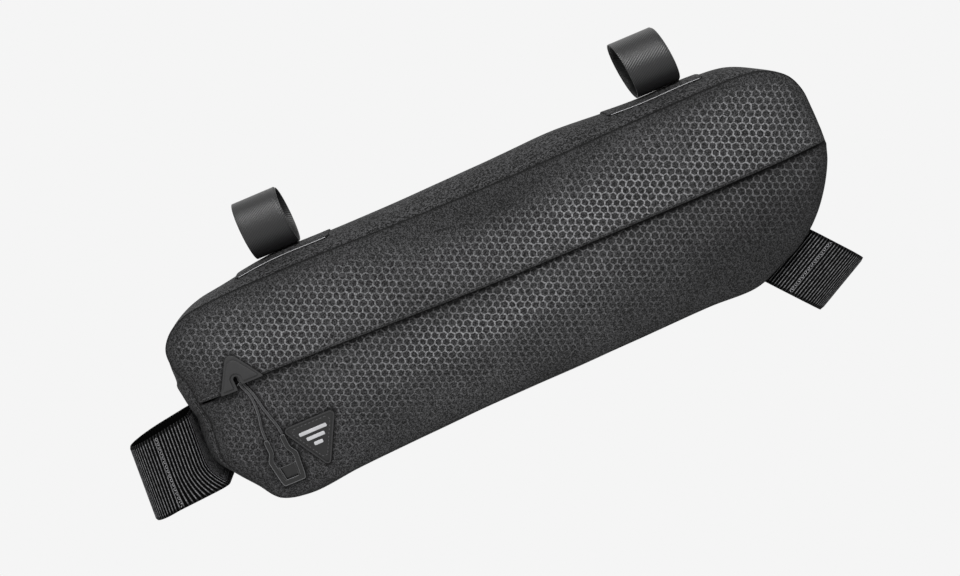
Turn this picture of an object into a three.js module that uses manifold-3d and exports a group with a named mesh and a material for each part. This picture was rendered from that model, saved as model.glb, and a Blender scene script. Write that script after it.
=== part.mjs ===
// Frame bag: a long slim cloth bag that hangs from a round bar by two hook-and-loop straps and is steadied
// by two webbing straps, one round an upright bar at its rear and one round a slanted bar below its front.
// Millimetres, +Z up. The origin lies on the axis of the carrying bar, midway between its two straps.
// +X runs toward the front of the bag, and the near side, with the zip and the badge, faces -Y.

import * as THREE from "three";
import { mergeVertices } from "three/addons/utils/BufferGeometryUtils.js";
import Module from "manifold-3d";

const wasm = await Module();
wasm.setup();

// Clearance that neighbouring pieces keep
const gap = 0.3;

// Body of the bag
const bagLength = 424; // rear end to front end of the seams
const bagDepth = 136; // top seam to lowest seam
const bodyWidth = 62; // near seam to far seam
const rearReach = 213.5; // origin to the rear end of the seams
const panelWall = 2;
const gussetWall = 2;
const panelBulge = 9; // how far a side panel puffs out past its seam
const bulgeReach = 58; // distance from the seam at which the puff is full
const bulgePower = 2.2;
const gussetCrown = 12; // greatest rise of the gusset past the seams
const crownPower = 2.4;

// Zip, flap and garage
const flapDrop = 56.2; // top seam to the flap's lower edge
const flapLap = 3; // how far the lower panel reaches up behind the flap
const zipDepth = 4.6; // how far the zip lies behind the flap's outer face
const insetReach = 17; // below the flap the lower panel comes back out over this height
const zipEndMargin = 15; // seam to the end of the zip
const tapeHeight = 12;
const tapeThickness = 1.4;
const sliderLength = 8;
const sliderHeight = 6;
const sliderAlong = 39; // rear end of the seams to the slider's middle
const garageWidth = 27;
const garageHeight = 21;
const garageThickness = 1.4;
const garageAlong = 36.5;
const garageCorner = 2.5;
const notchWidth = 3.6;
const notchHeight = 8.3;
const notchAlong = 35;

// Badge
const badgeWidth = 32.4;
const badgeHeight = 31;
const badgeCorner = 3;
const cornerCut = 0.56; // share of badgeCorner by which rounding shortens each upper corner
const badgeThickness = 1.3;
const badgeRimWidth = 1.1;
const badgeRimHeight = 0.6;
const badgeAlong = 65.2;
const badgeDrop = 89.4; // top seam to the badge's upper edge
const motifThickness = 0.5;
const motifBarHeight = 2.4;
const motifPitch = 4.4;
const motifWidth = 18;

// Pull grip and cord
const cordDiameter = 1.5;
const gripLength = 32;
const gripWidth = 19.4;
const gripThickness = 3;
const gripAlong = 41.3;
const gripDrop = 92;

// Bars that the straps clasp, and the straps
const topBarDiameter = 35;
const topStrapThickness = 1.4;
const topStrapWidth = 32;
const topStrapSpacing = 258;
const rearBarDiameter = 35;
const rearBarLean = 5.5; // degrees
const rearBarStandOff = 7.2; // free space between the bar and the strap's stretch on the gusset
const rearStrapWidth = 51;
const rearStrapDrop = 91.2;
const rearStrapSkew = 0.25; // rise along the bar for each millimetre toward the bag
const frontBarDiameter = 41;
const frontBarRise = 29; // degrees
const frontBarStandOff = 2;
const frontStrapWidth = 43;
const frontStrapAlong = 393.5;
const frontStrapDrop = 133;
const frontStrapSkew = 0.2;
const webbingThickness = 1.5;
const strapCorner = 4;

// Patches under the top straps
const patchThickness = 1;
const patchLength = 64;
const patchWidth = 30;
const patchCorner = 5;
const patchOffset = 3.5; // from the strap's middle to the patch's middle, toward the bag's middle

// Seam outline, a row for each section from the rear to the front. The along columns are shares of bagLength
// from the rear end, the down columns shares of bagDepth below the top seam, and the crown columns say how far
// the gusset stands out there, as shares of gussetCrown.
const sections = [
  { topAlong: 0.013, topDown: 0.400, topCrown: 1.00, bottomAlong: 0.018, bottomDown: 0.500, bottomCrown: 1.00 },
  { topAlong: 0.011, topDown: 0.303, topCrown: 1.00, bottomAlong: 0.014, bottomDown: 0.600, bottomCrown: 1.00 },
  { topAlong: 0.002, topDown: 0.225, topCrown: 0.45, bottomAlong: 0.011, bottomDown: 0.690, bottomCrown: 0.85 },
  { topAlong: 0.003, topDown: 0.135, topCrown: 0.08, bottomAlong: 0.023, bottomDown: 0.780, bottomCrown: 0.60 },
  { topAlong: 0.020, topDown: 0.066, topCrown: 0.05, bottomAlong: 0.044, bottomDown: 0.876, bottomCrown: 0.50 },
  { topAlong: 0.050, topDown: 0.021, topCrown: 0.08, bottomAlong: 0.064, bottomDown: 0.966, bottomCrown: 0.45 },
  { topAlong: 0.106, topDown: 0.004, topCrown: 0.25, bottomAlong: 0.106, bottomDown: 0.999, bottomCrown: 0.45 },
  { topAlong: 0.189, topDown: 0.000, topCrown: 0.60, bottomAlong: 0.185, bottomDown: 0.981, bottomCrown: 0.40 },
  { topAlong: 0.273, topDown: 0.002, topCrown: 0.62, bottomAlong: 0.268, bottomDown: 0.967, bottomCrown: 0.40 },
  { topAlong: 0.375, topDown: 0.011, topCrown: 0.74, bottomAlong: 0.375, bottomDown: 0.953, bottomCrown: 0.40 },
  { topAlong: 0.463, topDown: 0.016, topCrown: 0.88, bottomAlong: 0.482, bottomDown: 0.945, bottomCrown: 0.40 },
  { topAlong: 0.565, topDown: 0.016, topCrown: 1.00, bottomAlong: 0.577, bottomDown: 0.941, bottomCrown: 0.40 },
  { topAlong: 0.649, topDown: 0.012, topCrown: 1.00, bottomAlong: 0.663, bottomDown: 0.936, bottomCrown: 0.35 },
  { topAlong: 0.773, topDown: 0.003, topCrown: 0.62, bottomAlong: 0.756, bottomDown: 0.929, bottomCrown: 0.25 },
  { topAlong: 0.863, topDown: 0.000, topCrown: 0.60, bottomAlong: 0.832, bottomDown: 0.932, bottomCrown: 0.10 },
  { topAlong: 0.918, topDown: 0.003, topCrown: 0.60, bottomAlong: 0.876, bottomDown: 0.880, bottomCrown: 0.05 },
  { topAlong: 0.952, topDown: 0.024, topCrown: 0.25, bottomAlong: 0.914, bottomDown: 0.825, bottomCrown: 0.05 },
  { topAlong: 0.981, topDown: 0.085, topCrown: 0.08, bottomAlong: 0.949, bottomDown: 0.733, bottomCrown: 0.08 },
  { topAlong: 0.994, topDown: 0.165, topCrown: 0.06, bottomAlong: 0.975, bottomDown: 0.625, bottomCrown: 0.12 },
  { topAlong: 0.998, topDown: 0.265, topCrown: 0.06, bottomAlong: 0.993, bottomDown: 0.515, bottomCrown: 0.12 },
  { topAlong: 1.000, topDown: 0.370, topCrown: 0.08, bottomAlong: 1.000, bottomDown: 0.440, bottomCrown: 0.10 },
];
const stepsPerSection = 2;

// Soft hollows and swells of the side panels. along and down place the middle as above, reachAlong and
// reachDown are shares of bagLength and bagDepth, and lift is a share of panelBulge, negative for a hollow.
const panelDents = [
  { along: 0.55, down: 0.10, reachAlong: 0.12, reachDown: 0.10, lift: -0.16 },
  { along: 0.76, down: 0.24, reachAlong: 0.09, reachDown: 0.12, lift: 0.14 },
  { along: 0.24, down: 0.22, reachAlong: 0.10, reachDown: 0.12, lift: 0.10 },
  { along: 0.53, down: 0.70, reachAlong: 0.13, reachDown: 0.12, lift: 0.12 },
  { along: 0.68, down: 0.66, reachAlong: 0.06, reachDown: 0.12, lift: -0.10 },
];

// Shares of a section's height at which the panels have vertices, closer together round the zip
const upperPanelShares = [0, 0.42, 0.5, 0.56, 0.62, 0.72, 0.84, 0.93, 1];
const lowerPanelShares = [0, 0.08, 0.22, 0.35, 0.42, 0.47, 0.52, 0.57, 0.64, 1];
const farPanelShares = [0, 0.06, 0.18, 0.34, 0.5, 0.66, 0.82, 0.94, 1];
const gussetShares = [-1, -0.84, -0.5, 0, 0.5, 0.84, 1];
const drapeCell = 6; // mesh cell of the small pieces that follow a panel

// Half outline of the pull grip from its top down: down is a share of gripLength, outer and inner are shares
// of half its width.
const gripRows = [
  { down: 0.000, outer: 0.70, inner: 0.40 },
  { down: 0.270, outer: 0.70, inner: 0.41 },
  { down: 0.430, outer: 1.00, inner: 0.69 },
  { down: 0.890, outer: 0.82, inner: 0.52 },
];
const gripFoot = { down: 1, outer: 0.72 };

// Routes of the two cord runs, from the slider down to the grip's arms
const rearCordRoute = [
  [-178.3, -34.7, -80.9], [-178.1, -34.7, -82.6], [-177.5, -34.8, -84.6], [-176.6, -35.1, -86.8],
  [-175.6, -36.0, -89.2], [-174.9, -36.9, -91.8], [-174.6, -37.8, -94.4], [-174.5, -38.6, -97.0],
  [-174.5, -39.4, -99.8], [-174.8, -39.5, -102.8], [-175.4, -39.5, -106.0], [-176.2, -39.4, -109.2],
  [-176.8, -39.4, -112.4], [-177.1, -39.4, -115.6], [-177.2, -39.2, -119.3],
];
const frontCordRoute = [
  [-176.2, -34.9, -80.9], [-175.9, -35.0, -82.6], [-175.3, -35.1, -84.6], [-174.5, -35.4, -86.8],
  [-173.5, -36.2, -89.2], [-172.6, -37.2, -91.8], [-171.9, -38.1, -94.4], [-171.2, -39.0, -97.0],
  [-170.6, -39.9, -99.8], [-169.9, -40.1, -102.8], [-169.1, -40.2, -106.0], [-168.3, -40.3, -109.2],
  [-167.4, -40.4, -112.4], [-166.8, -40.5, -115.6], [-166.6, -40.3, -119.3],
];

// Heights and places that follow from the sizes above
const topBarRadius = topBarDiameter / 2;
const gussetTopZ = -(topBarRadius + topStrapThickness + gap + patchThickness + gap);
const seamTopZ = gussetTopZ - sections[7].topCrown * gussetCrown;
const flapEdgeZ = seamTopZ - flapDrop;
const lowerTopZ = flapEdgeZ + flapLap;
const halfWidth = bodyWidth / 2;
const gussetHalf = halfWidth - panelWall - gap;
const atAlong = (length) => length - rearReach;
const atDrop = (drop) => seamTopZ - drop;
const smooth = (t) => THREE.MathUtils.smoothstep(t, 0, 1);

// A closed solid lofted through rings of points; a ring of a sheet runs along one face and back on the other
function loft(rings, closed) {
  const positions = rings.flat().flatMap((point) => [point.x, point.y, point.z]);
  const size = rings[0].length;
  const index = [];
  const quad = (a, b, c, d) => index.push(a, b, c, a, c, d);
  const spans = closed ? rings.length : rings.length - 1;
  for (let i = 0; i < spans; i++) {
    const here = i * size;
    const next = ((i + 1) % rings.length) * size;
    for (let j = 0; j < size; j++) {
      const up = (j + 1) % size;
      quad(here + j, next + j, next + up, here + up);
    }
  }
  if (!closed) {
    const last = (rings.length - 1) * size;
    for (let j = 0; j < size / 2 - 1; j++) {
      quad(j, j + 1, size - 2 - j, size - 1 - j);
      quad(last + j, last + size - 1 - j, last + size - 2 - j, last + j + 1);
    }
  }
  const geometry = new THREE.BufferGeometry();
  geometry.setAttribute("position", new THREE.Float32BufferAttribute(positions, 3));
  geometry.setIndex(signedVolume(positions, index) < 0 ? index.reverse() : index);
  return geometry;
}

function signedVolume(positions, index) {
  const corner = (k) => new THREE.Vector3().fromArray(positions, 3 * index[k]);
  let volume = 0;
  for (let k = 0; k < index.length; k += 3) {
    volume += corner(k).dot(corner(k + 1).cross(corner(k + 2)));
  }
  return volume;
}

function toSolid(geometry) {
  const plain = geometry.clone();
  plain.deleteAttribute("normal");
  plain.deleteAttribute("uv");
  const merged = mergeVertices(plain);
  const mesh = new wasm.Mesh({
    numProp: 3,
    vertProperties: new Float32Array(merged.getAttribute("position").array),
    triVerts: new Uint32Array(merged.getIndex().array),
  });
  return new wasm.Manifold(mesh);
}

function toGeometry(solid) {
  const mesh = solid.getMesh();
  const geometry = new THREE.BufferGeometry();
  geometry.setAttribute("position", new THREE.BufferAttribute(mesh.vertProperties, 3));
  geometry.setIndex(new THREE.BufferAttribute(mesh.triVerts, 1));
  return geometry;
}

function boxSolid(low, high) {
  const size = new THREE.Vector3().subVectors(high, low);
  const middle = new THREE.Vector3().addVectors(low, high).multiplyScalar(0.5);
  const box = new THREE.BoxGeometry(size.x, size.y, size.z);
  return toSolid(box.translate(middle.x, middle.y, middle.z));
}

// The seam as two chains of points over the top and along the bottom, in the plane y = 0, each with the rise of
// the gusset there
function seamChain(alongKey, downKey, crownKey) {
  const rows = sections.map(
    (row) => new THREE.Vector3(atAlong(row[alongKey] * bagLength), 0, atDrop(row[downKey] * bagDepth)),
  );
  const crowns = sections.map((row) => new THREE.Vector3(row[crownKey] * gussetCrown, 0, 0));
  const count = (sections.length - 1) * stepsPerSection;
  const points = new THREE.CatmullRomCurve3(rows, false, "centripetal").getPoints(count);
  const rises = new THREE.CatmullRomCurve3(crowns, false, "catmullrom").getPoints(count);
  return points.map((point, k) => ({ point, rise: rises[k].x }));
}

const topChain = seamChain("topAlong", "topDown", "topCrown");
const bottomChain = seamChain("bottomAlong", "bottomDown", "bottomCrown");
const seamLoop = [...topChain, ...bottomChain.slice().reverse()];
seamLoop.forEach((station, k) => {
  const before = seamLoop[(k + seamLoop.length - 1) % seamLoop.length].point;
  const after = seamLoop[(k + 1) % seamLoop.length].point;
  const along = new THREE.Vector3().subVectors(after, before).normalize();
  station.outward = new THREE.Vector3(-along.z, 0, along.x);
});

function seamDistance(x, z) {
  const place = new THREE.Vector3(x, 0, z);
  const nearest = new THREE.Vector3();
  const edge = new THREE.Line3();
  let distance = Infinity;
  seamLoop.forEach((station, k) => {
    edge.set(station.point, seamLoop[(k + 1) % seamLoop.length].point);
    edge.closestPointToPoint(place, true, nearest);
    distance = Math.min(distance, nearest.distanceTo(place));
  });
  return distance;
}

// How far a side panel's outer face stands past the seams' plane
function puff(x, z) {
  const inward = Math.min(seamDistance(x, z) / bulgeReach, 1);
  const full = 1 - (1 - inward) ** bulgePower;
  let lift = 1;
  for (const dent of panelDents) {
    const u = (x - atAlong(dent.along * bagLength)) / (dent.reachAlong * bagLength);
    const w = (z - atDrop(dent.down * bagDepth)) / (dent.reachDown * bagDepth);
    lift += dent.lift * Math.exp(-u * u - w * w);
  }
  return panelBulge * full * lift;
}

// How far the lower panel lies behind the upper one's face, to pass under the flap
function zipInset(x, z) {
  const fade = smooth(seamDistance(x, z) / (zipEndMargin - 2));
  return zipDepth * fade * (1 - smooth((flapEdgeZ - z) / insetReach));
}

const upperFace = (x, z) => -(halfWidth + puff(x, z));
const lowerFace = (x, z) => upperFace(x, z) + zipInset(x, z);

// A side panel as a sheet between the two chains; side is -1 for the near one and 1 for the far one
function sidePanel(shares, face, side) {
  const rings = topChain.map((top, k) => {
    const places = shares.map((share) => bottomChain[k].point.clone().lerp(top.point, share));
    const outer = places.map(({ x, z }) => new THREE.Vector3(x, -side * face(x, z), z));
    const inner = places.map(({ x, z }) => new THREE.Vector3(x, -side * (face(x, z) + panelWall), z));
    return [...outer, ...inner.reverse()];
  });
  return loft(rings, false);
}

// Space above or below a height, as a box that reaches past the bag all round
const farOut = bagLength + bagDepth;
const above = (z) => boxSolid(new THREE.Vector3(-farOut, -farOut, z), new THREE.Vector3(farOut, farOut, farOut));
const below = (z) => boxSolid(new THREE.Vector3(-farOut, -farOut, -farOut), new THREE.Vector3(farOut, farOut, z));

function seamCrossing(chain, z) {
  for (let k = 1; k < chain.length; k++) {
    const a = chain[k - 1].point;
    const b = chain[k].point;
    if ((a.z - z) * (b.z - z) <= 0) {
      return THREE.MathUtils.lerp(a.x, b.x, (z - a.z) / (b.z - a.z));
    }
  }
  return chain[0].point.x;
}

const half = seamLoop.length / 2;
const quarter = Math.floor(half / 2);
const rearSide = [...seamLoop.slice(-quarter), ...seamLoop.slice(0, quarter)];
const frontSide = seamLoop.slice(quarter, half + quarter);
const zipRearX = seamCrossing(rearSide, flapEdgeZ) + zipEndMargin;
const zipFrontX = seamCrossing(frontSide, flapEdgeZ) - zipEndMargin;

// A flat outline in x and z as a prism that runs out along -Y
function prism(shape) {
  const geometry = new THREE.ExtrudeGeometry(shape, { depth: bodyWidth, bevelEnabled: false, curveSegments: 6 });
  return toSolid(geometry.rotateX(Math.PI / 2));
}

// A piece with a flat outline that follows a face, from one height above it to another
function draped(shape, face, from, to) {
  const bounds = new THREE.Box2().setFromPoints(shape.getPoints());
  bounds.expandByScalar(1);
  const cells = (length) => Math.max(2, Math.ceil(length / drapeCell));
  const size = bounds.getSize(new THREE.Vector2());
  const columns = cells(size.x);
  const rows = cells(size.y);
  const rings = [];
  for (let i = 0; i <= columns; i++) {
    const x = THREE.MathUtils.lerp(bounds.min.x, bounds.max.x, i / columns);
    const outer = [];
    const inner = [];
    for (let j = 0; j <= rows; j++) {
      const z = THREE.MathUtils.lerp(bounds.min.y, bounds.max.y, j / rows);
      outer.push(new THREE.Vector3(x, face(x, z) - to, z));
      inner.push(new THREE.Vector3(x, face(x, z) - from, z));
    }
    rings.push([...outer, ...inner.reverse()]);
  }
  return toSolid(loft(rings, false)).intersect(prism(shape));
}

// A polygon with rounded corners; corners run round once
function roundedShape(corners, radius) {
  const shape = new THREE.Shape();
  corners.forEach((corner, k) => {
    const before = corners[(k + corners.length - 1) % corners.length];
    const after = corners[(k + 1) % corners.length];
    const inward = new THREE.Vector2().subVectors(before, corner).normalize();
    const onward = new THREE.Vector2().subVectors(after, corner).normalize();
    const halfAngle = Math.acos(THREE.MathUtils.clamp(inward.dot(onward), -1, 1)) / 2;
    const reach = radius / Math.tan(halfAngle);
    const start = corner.clone().addScaledVector(inward, reach);
    const end = corner.clone().addScaledVector(onward, reach);
    if (k === 0) shape.moveTo(start.x, start.y);
    else shape.lineTo(start.x, start.y);
    shape.quadraticCurveTo(corner.x, corner.y, end.x, end.y);
  });
  shape.closePath();
  return shape;
}

function notchShape(x, foot) {
  const radius = notchWidth / 2;
  const shape = new THREE.Shape();
  shape.moveTo(x - radius, foot - notchHeight);
  shape.lineTo(x + radius, foot - notchHeight);
  shape.lineTo(x + radius, foot + notchHeight - radius);
  shape.absarc(x, foot + notchHeight - radius, radius, 0, Math.PI, false);
  shape.closePath();
  return shape;
}

const notch = prism(notchShape(atAlong(notchAlong), flapEdgeZ));

function nearUpperPanel() {
  const whole = toSolid(sidePanel(upperPanelShares, upperFace, -1));
  return toGeometry(whole.intersect(above(flapEdgeZ)).subtract(notch));
}

function nearLowerPanel() {
  const whole = toSolid(sidePanel(lowerPanelShares, lowerFace, -1));
  const rearEnd = boxSolid(
    new THREE.Vector3(-farOut, -farOut, flapEdgeZ - gap),
    new THREE.Vector3(zipRearX, farOut, farOut),
  );
  const frontEnd = boxSolid(
    new THREE.Vector3(zipFrontX, -farOut, flapEdgeZ - gap),
    new THREE.Vector3(farOut, farOut, farOut),
  );
  return toGeometry(whole.intersect(below(lowerTopZ)).subtract(rearEnd).subtract(frontEnd));
}

const farPanel = () => sidePanel(farPanelShares, upperFace, 1);

function gusset() {
  const rings = seamLoop.map(({ point, rise, outward }) => {
    const at = (share, inset) => {
      const lift = rise * (1 - Math.abs(share) ** crownPower) - inset;
      return point.clone().addScaledVector(outward, lift).setY(share * gussetHalf);
    };
    const outer = gussetShares.map((share) => at(share, 0));
    const inner = gussetShares.map((share) => at(share, gussetWall));
    return [...outer, ...inner.reverse()];
  });
  return loft(rings, true);
}

// The zip's tape runs from the lower panel's top edge up behind the flap, to the flap's inner face
function zipTape() {
  const low = lowerTopZ + gap;
  const columns = 24;
  const tapeShares = [0, 0.3, 0.55, 0.8, 1];
  const rings = [];
  for (let i = 0; i <= columns; i++) {
    const x = THREE.MathUtils.lerp(zipRearX + gap, zipFrontX - gap, i / columns);
    const at = (share, inset) => {
      const z = low + share * tapeHeight;
      const depth = THREE.MathUtils.lerp(zipDepth, panelWall + 2 * gap, smooth((share - 0.5) * 2));
      return new THREE.Vector3(x, upperFace(x, z) + depth + inset, z);
    };
    const outer = tapeShares.map((share) => at(share, 0));
    const inner = tapeShares.map((share) => at(share, tapeThickness));
    rings.push([...outer, ...inner.reverse()]);
  }
  return loft(rings, false);
}

function rectangle(x, z, width, height) {
  const corner = (u, w) => new THREE.Vector2(x + u * width, z + w * height);
  return [corner(-0.5, 0), corner(0.5, 0), corner(0.5, 1), corner(-0.5, 1)];
}

function zipSlider() {
  const shape = roundedShape(rectangle(atAlong(sliderAlong), lowerTopZ + gap, sliderLength, sliderHeight), 1.5);
  return toGeometry(draped(shape, upperFace, gap - zipDepth, -(panelWall + gap)));
}

function zipGarage() {
  const x = atAlong(garageAlong);
  const foot = garageWidth / 2;
  const corners = [
    new THREE.Vector2(x - foot, flapEdgeZ),
    new THREE.Vector2(x + foot, flapEdgeZ),
    new THREE.Vector2(x, flapEdgeZ + garageHeight + garageCorner),
  ];
  const shape = roundedShape(corners, garageCorner);
  return toGeometry(draped(shape, upperFace, gap, gap + garageThickness).subtract(notch));
}

function badgeOutline(inset) {
  const slant = badgeHeight / (badgeWidth / 2);
  const reach = (inset * Math.hypot(1, slant) + inset) / slant;
  const x = atAlong(badgeAlong);
  const top = atDrop(badgeDrop) - inset;
  const side = badgeWidth / 2 + cornerCut * badgeCorner - reach;
  const corners = [
    new THREE.Vector2(x + side, top),
    new THREE.Vector2(x - side, top),
    new THREE.Vector2(x, top - side * slant),
  ];
  return roundedShape(corners, Math.max(badgeCorner - inset / 2, 0.5));
}

function badge() {
  const face = gap + badgeThickness;
  const base = draped(badgeOutline(0), lowerFace, gap, face);
  const rimBlank = draped(badgeOutline(0), lowerFace, face - 0.2, face + badgeRimHeight);
  return toGeometry(base.add(rimBlank.subtract(prism(badgeOutline(badgeRimWidth)))));
}

// Three plain bars of falling length, with a thin bridge behind them so that they are one piece
function badgeMotif() {
  const x = atAlong(badgeAlong);
  const top = atDrop(badgeDrop) - badgeHeight * 0.2;
  const low = gap + badgeThickness + gap;
  const face = low + motifThickness;
  const bars = [1, 0.66, 0.32].map((share, k) => {
    const foot = top - motifBarHeight - k * motifPitch;
    return draped(new THREE.Shape(rectangle(x, foot, motifWidth * share, motifBarHeight)), lowerFace, low, face);
  });
  const bridgeFoot = top - 2 * motifPitch - motifBarHeight / 2;
  const bridge = new THREE.Shape(rectangle(x, bridgeFoot, motifBarHeight, 2 * motifPitch));
  return toGeometry(bars.reduce((all, bar) => all.add(bar), draped(bridge, lowerFace, low, face - 0.2)));
}

function pullGrip() {
  const x = atAlong(gripAlong);
  const top = atDrop(gripDrop);
  const place = (share, down) => new THREE.Vector2(x + (share * gripWidth) / 2, top - down * gripLength);
  const rightOuter = gripRows.map((row) => place(row.outer, row.down));
  const rightInner = gripRows.map((row) => place(row.inner, row.down));
  const leftOuter = gripRows.map((row) => place(-row.outer, row.down));
  const leftInner = gripRows.map((row) => place(-row.inner, row.down));
  const foot = [place(gripFoot.outer, gripFoot.down), place(-gripFoot.outer, gripFoot.down)];
  const shape = new THREE.Shape([
    ...rightOuter, ...foot, ...leftOuter.reverse(), ...leftInner, ...rightInner.reverse(),
  ]);
  return toGeometry(draped(shape, lowerFace, gap, gap + gripThickness));
}

function cordRun(route) {
  const curve = new THREE.CatmullRomCurve3(route.map((point) => new THREE.Vector3(...point)));
  const section = new THREE.Shape();
  section.absarc(0, 0, cordDiameter / 2, 0, 2 * Math.PI, false);
  return new THREE.ExtrudeGeometry(section, { extrudePath: curve, steps: 20, curveSegments: 4 });
}

// The top seam's height and the gusset's rise at a place along the bag
function topSeamAt(x) {
  for (let k = 1; k < topChain.length; k++) {
    const a = topChain[k - 1];
    const b = topChain[k];
    if (a.point.x <= x && x <= b.point.x) {
      const t = (x - a.point.x) / (b.point.x - a.point.x);
      const z = THREE.MathUtils.lerp(a.point.z, b.point.z, t);
      return { z, rise: THREE.MathUtils.lerp(a.rise, b.rise, t) };
    }
  }
  return { z: seamTopZ, rise: 0 };
}

// A patch lies on the gusset's crown, a rounded rectangle cut from a sheet that follows the crown
function topPatch(middle) {
  const acrossShares = [-1, -0.6, -0.25, 0, 0.25, 0.6, 1];
  const columns = 8;
  const rings = [];
  for (let i = 0; i <= columns; i++) {
    const x = middle + (i / columns - 0.5) * (patchLength + 2);
    const { z, rise } = topSeamAt(x);
    const at = (share, lift) => {
      const y = share * (patchWidth / 2 + 1);
      const crown = rise * (1 - Math.abs(y / gussetHalf) ** crownPower);
      return new THREE.Vector3(x, y, z + crown + gap + lift);
    };
    const outer = acrossShares.map((share) => at(share, patchThickness));
    const inner = acrossShares.map((share) => at(share, 0));
    rings.push([...outer, ...inner.reverse()]);
  }
  const corners = rectangle(middle, -patchWidth / 2, patchLength, patchWidth);
  const outline = new THREE.ExtrudeGeometry(roundedShape(corners, patchCorner), {
    depth: bagDepth, bevelEnabled: false, curveSegments: 4,
  });
  return toGeometry(toSolid(loft(rings, false)).intersect(toSolid(outline.translate(0, 0, -bagDepth))));
}

function topStrap() {
  const ring = new THREE.Shape();
  ring.absarc(0, 0, topBarRadius + topStrapThickness, 0, 2 * Math.PI, false);
  const bore = new THREE.Path();
  bore.absarc(0, 0, topBarRadius, 0, 2 * Math.PI, true);
  ring.holes.push(bore);
  const options = { depth: topStrapWidth, bevelEnabled: false, curveSegments: 16 };
  const geometry = new THREE.ExtrudeGeometry(ring, options);
  return geometry.translate(0, 0, -topStrapWidth / 2);
}

// Outline of a strap's loop round a bar at the origin, with a flat stretch across +X that lies on the gusset
function loopOutline(path, radius, flat, corner) {
  path.absarc(0, 0, radius, Math.PI / 2, (3 * Math.PI) / 2, false);
  path.lineTo(flat - corner, -radius);
  path.quadraticCurveTo(flat, -radius, flat, corner - radius);
  path.lineTo(flat, radius - corner);
  path.quadraticCurveTo(flat, radius, flat - corner, radius);
  path.closePath();
  return path;
}

// skew slides the loop along the bar, the further toward the bag the more
function webbingLoop(barRadius, standOff, width, skew) {
  const flat = barRadius + standOff;
  const ring = loopOutline(new THREE.Shape(), barRadius + webbingThickness, flat + webbingThickness,
    strapCorner + webbingThickness);
  ring.holes.push(loopOutline(new THREE.Path(), barRadius, flat, strapCorner));
  const geometry = new THREE.ExtrudeGeometry(ring, { depth: width, bevelEnabled: false, curveSegments: 10 });
  geometry.translate(0, 0, -width / 2);
  return geometry.applyMatrix4(new THREE.Matrix4().makeShear(0, skew, 0, 0, 0, 0));
}

// The bar's middle that seats its strap on the gusset: guess is moved along toward until the strap's flat
// stretch lies a clearance off the gusset's crown line
function seatedBar(guess, toward, flatOuter, width, skew) {
  const crownLine = seamLoop.map(({ point, rise, outward }) => point.clone().addScaledVector(outward, rise));
  const barAxis = new THREE.Vector3(-toward.z, 0, toward.x);
  let reach = Infinity;
  crownLine.forEach((from, k) => {
    const to = crownLine[(k + 1) % crownLine.length];
    for (let step = 0; step < 4; step++) {
      const offset = from.clone().lerp(to, step / 4).sub(guess);
      const ahead = offset.dot(toward);
      const aside = Math.abs(offset.dot(barAxis) - skew * flatOuter);
      if (aside <= width / 2 + 1 && ahead > 0) reach = Math.min(reach, ahead);
    }
  });
  return guess.clone().addScaledVector(toward, reach - flatOuter - gap);
}

const cloth = new THREE.MeshStandardMaterial({ color: 0x3b3b3c, roughness: 0.9, metalness: 0 });
const plainCloth = new THREE.MeshStandardMaterial({ color: 0x454546, roughness: 0.9, metalness: 0 });
const webbing = new THREE.MeshStandardMaterial({ color: 0x202021, roughness: 0.85, metalness: 0 });
const hookAndLoop = new THREE.MeshStandardMaterial({ color: 0x343435, roughness: 0.7, metalness: 0 });
const rubber = new THREE.MeshStandardMaterial({ color: 0x474748, roughness: 0.6, metalness: 0 });
const cordCloth = new THREE.MeshStandardMaterial({ color: 0x3f3f40, roughness: 0.7, metalness: 0 });
const palePrint = new THREE.MeshStandardMaterial({ color: 0xa9a9aa, roughness: 0.5, metalness: 0 });
const slideMetal = new THREE.MeshStandardMaterial({ color: 0x2a2a2b, roughness: 0.5, metalness: 0.6 });

const group = new THREE.Group();

function place(name, geometry, material, parent = group) {
  const mesh = new THREE.Mesh(geometry, material);
  mesh.name = name;
  parent.add(mesh);
  return mesh;
}

place("near_upper_panel", nearUpperPanel(), cloth);
place("near_lower_panel", nearLowerPanel(), cloth);
place("far_panel", farPanel(), cloth);
place("gusset", gusset(), plainCloth);
place("zip_tape", zipTape(), webbing);
place("zip_slider", zipSlider(), slideMetal);
place("zip_garage", zipGarage(), rubber);
place("badge", badge(), rubber);
place("badge_motif", badgeMotif(), palePrint);
place("pull_cord_rear", cordRun(rearCordRoute), cordCloth);
place("pull_cord_front", cordRun(frontCordRoute), cordCloth);
place("pull_grip", pullGrip(), rubber);

for (const [end, sign] of [["rear", -1], ["front", 1]]) {
  const middle = (sign * topStrapSpacing) / 2;
  place(`top_patch_${end}`, topPatch(middle - sign * patchOffset), plainCloth);
  const strap = place(`top_strap_${end}`, topStrap(), hookAndLoop);
  strap.rotation.y = Math.PI / 2;
  strap.position.x = middle;
}

const webbingStraps = [
  {
    name: "rear_strap", radius: rearBarDiameter / 2, standOff: rearBarStandOff, width: rearStrapWidth,
    skew: rearStrapSkew, turn: rearBarLean, guess: new THREE.Vector3(atAlong(0) - rearBarDiameter, 0, atDrop(rearStrapDrop)),
  },
  {
    name: "front_strap", radius: frontBarDiameter / 2, standOff: frontBarStandOff, width: frontStrapWidth,
    skew: frontStrapSkew, turn: -90 - frontBarRise, guess: new THREE.Vector3(atAlong(frontStrapAlong), 0, atDrop(frontStrapDrop)),
  },
];
for (const { name, radius, standOff, width, skew, turn, guess } of webbingStraps) {
  const angle = THREE.MathUtils.degToRad(turn);
  const toward = new THREE.Vector3(Math.cos(angle), 0, -Math.sin(angle));
  const strap = place(name, webbingLoop(radius, standOff, width, skew), webbing);
  strap.rotation.y = angle;
  strap.position.copy(seatedBar(guess, toward, radius + standOff + webbingThickness, width, skew));
}

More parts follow.
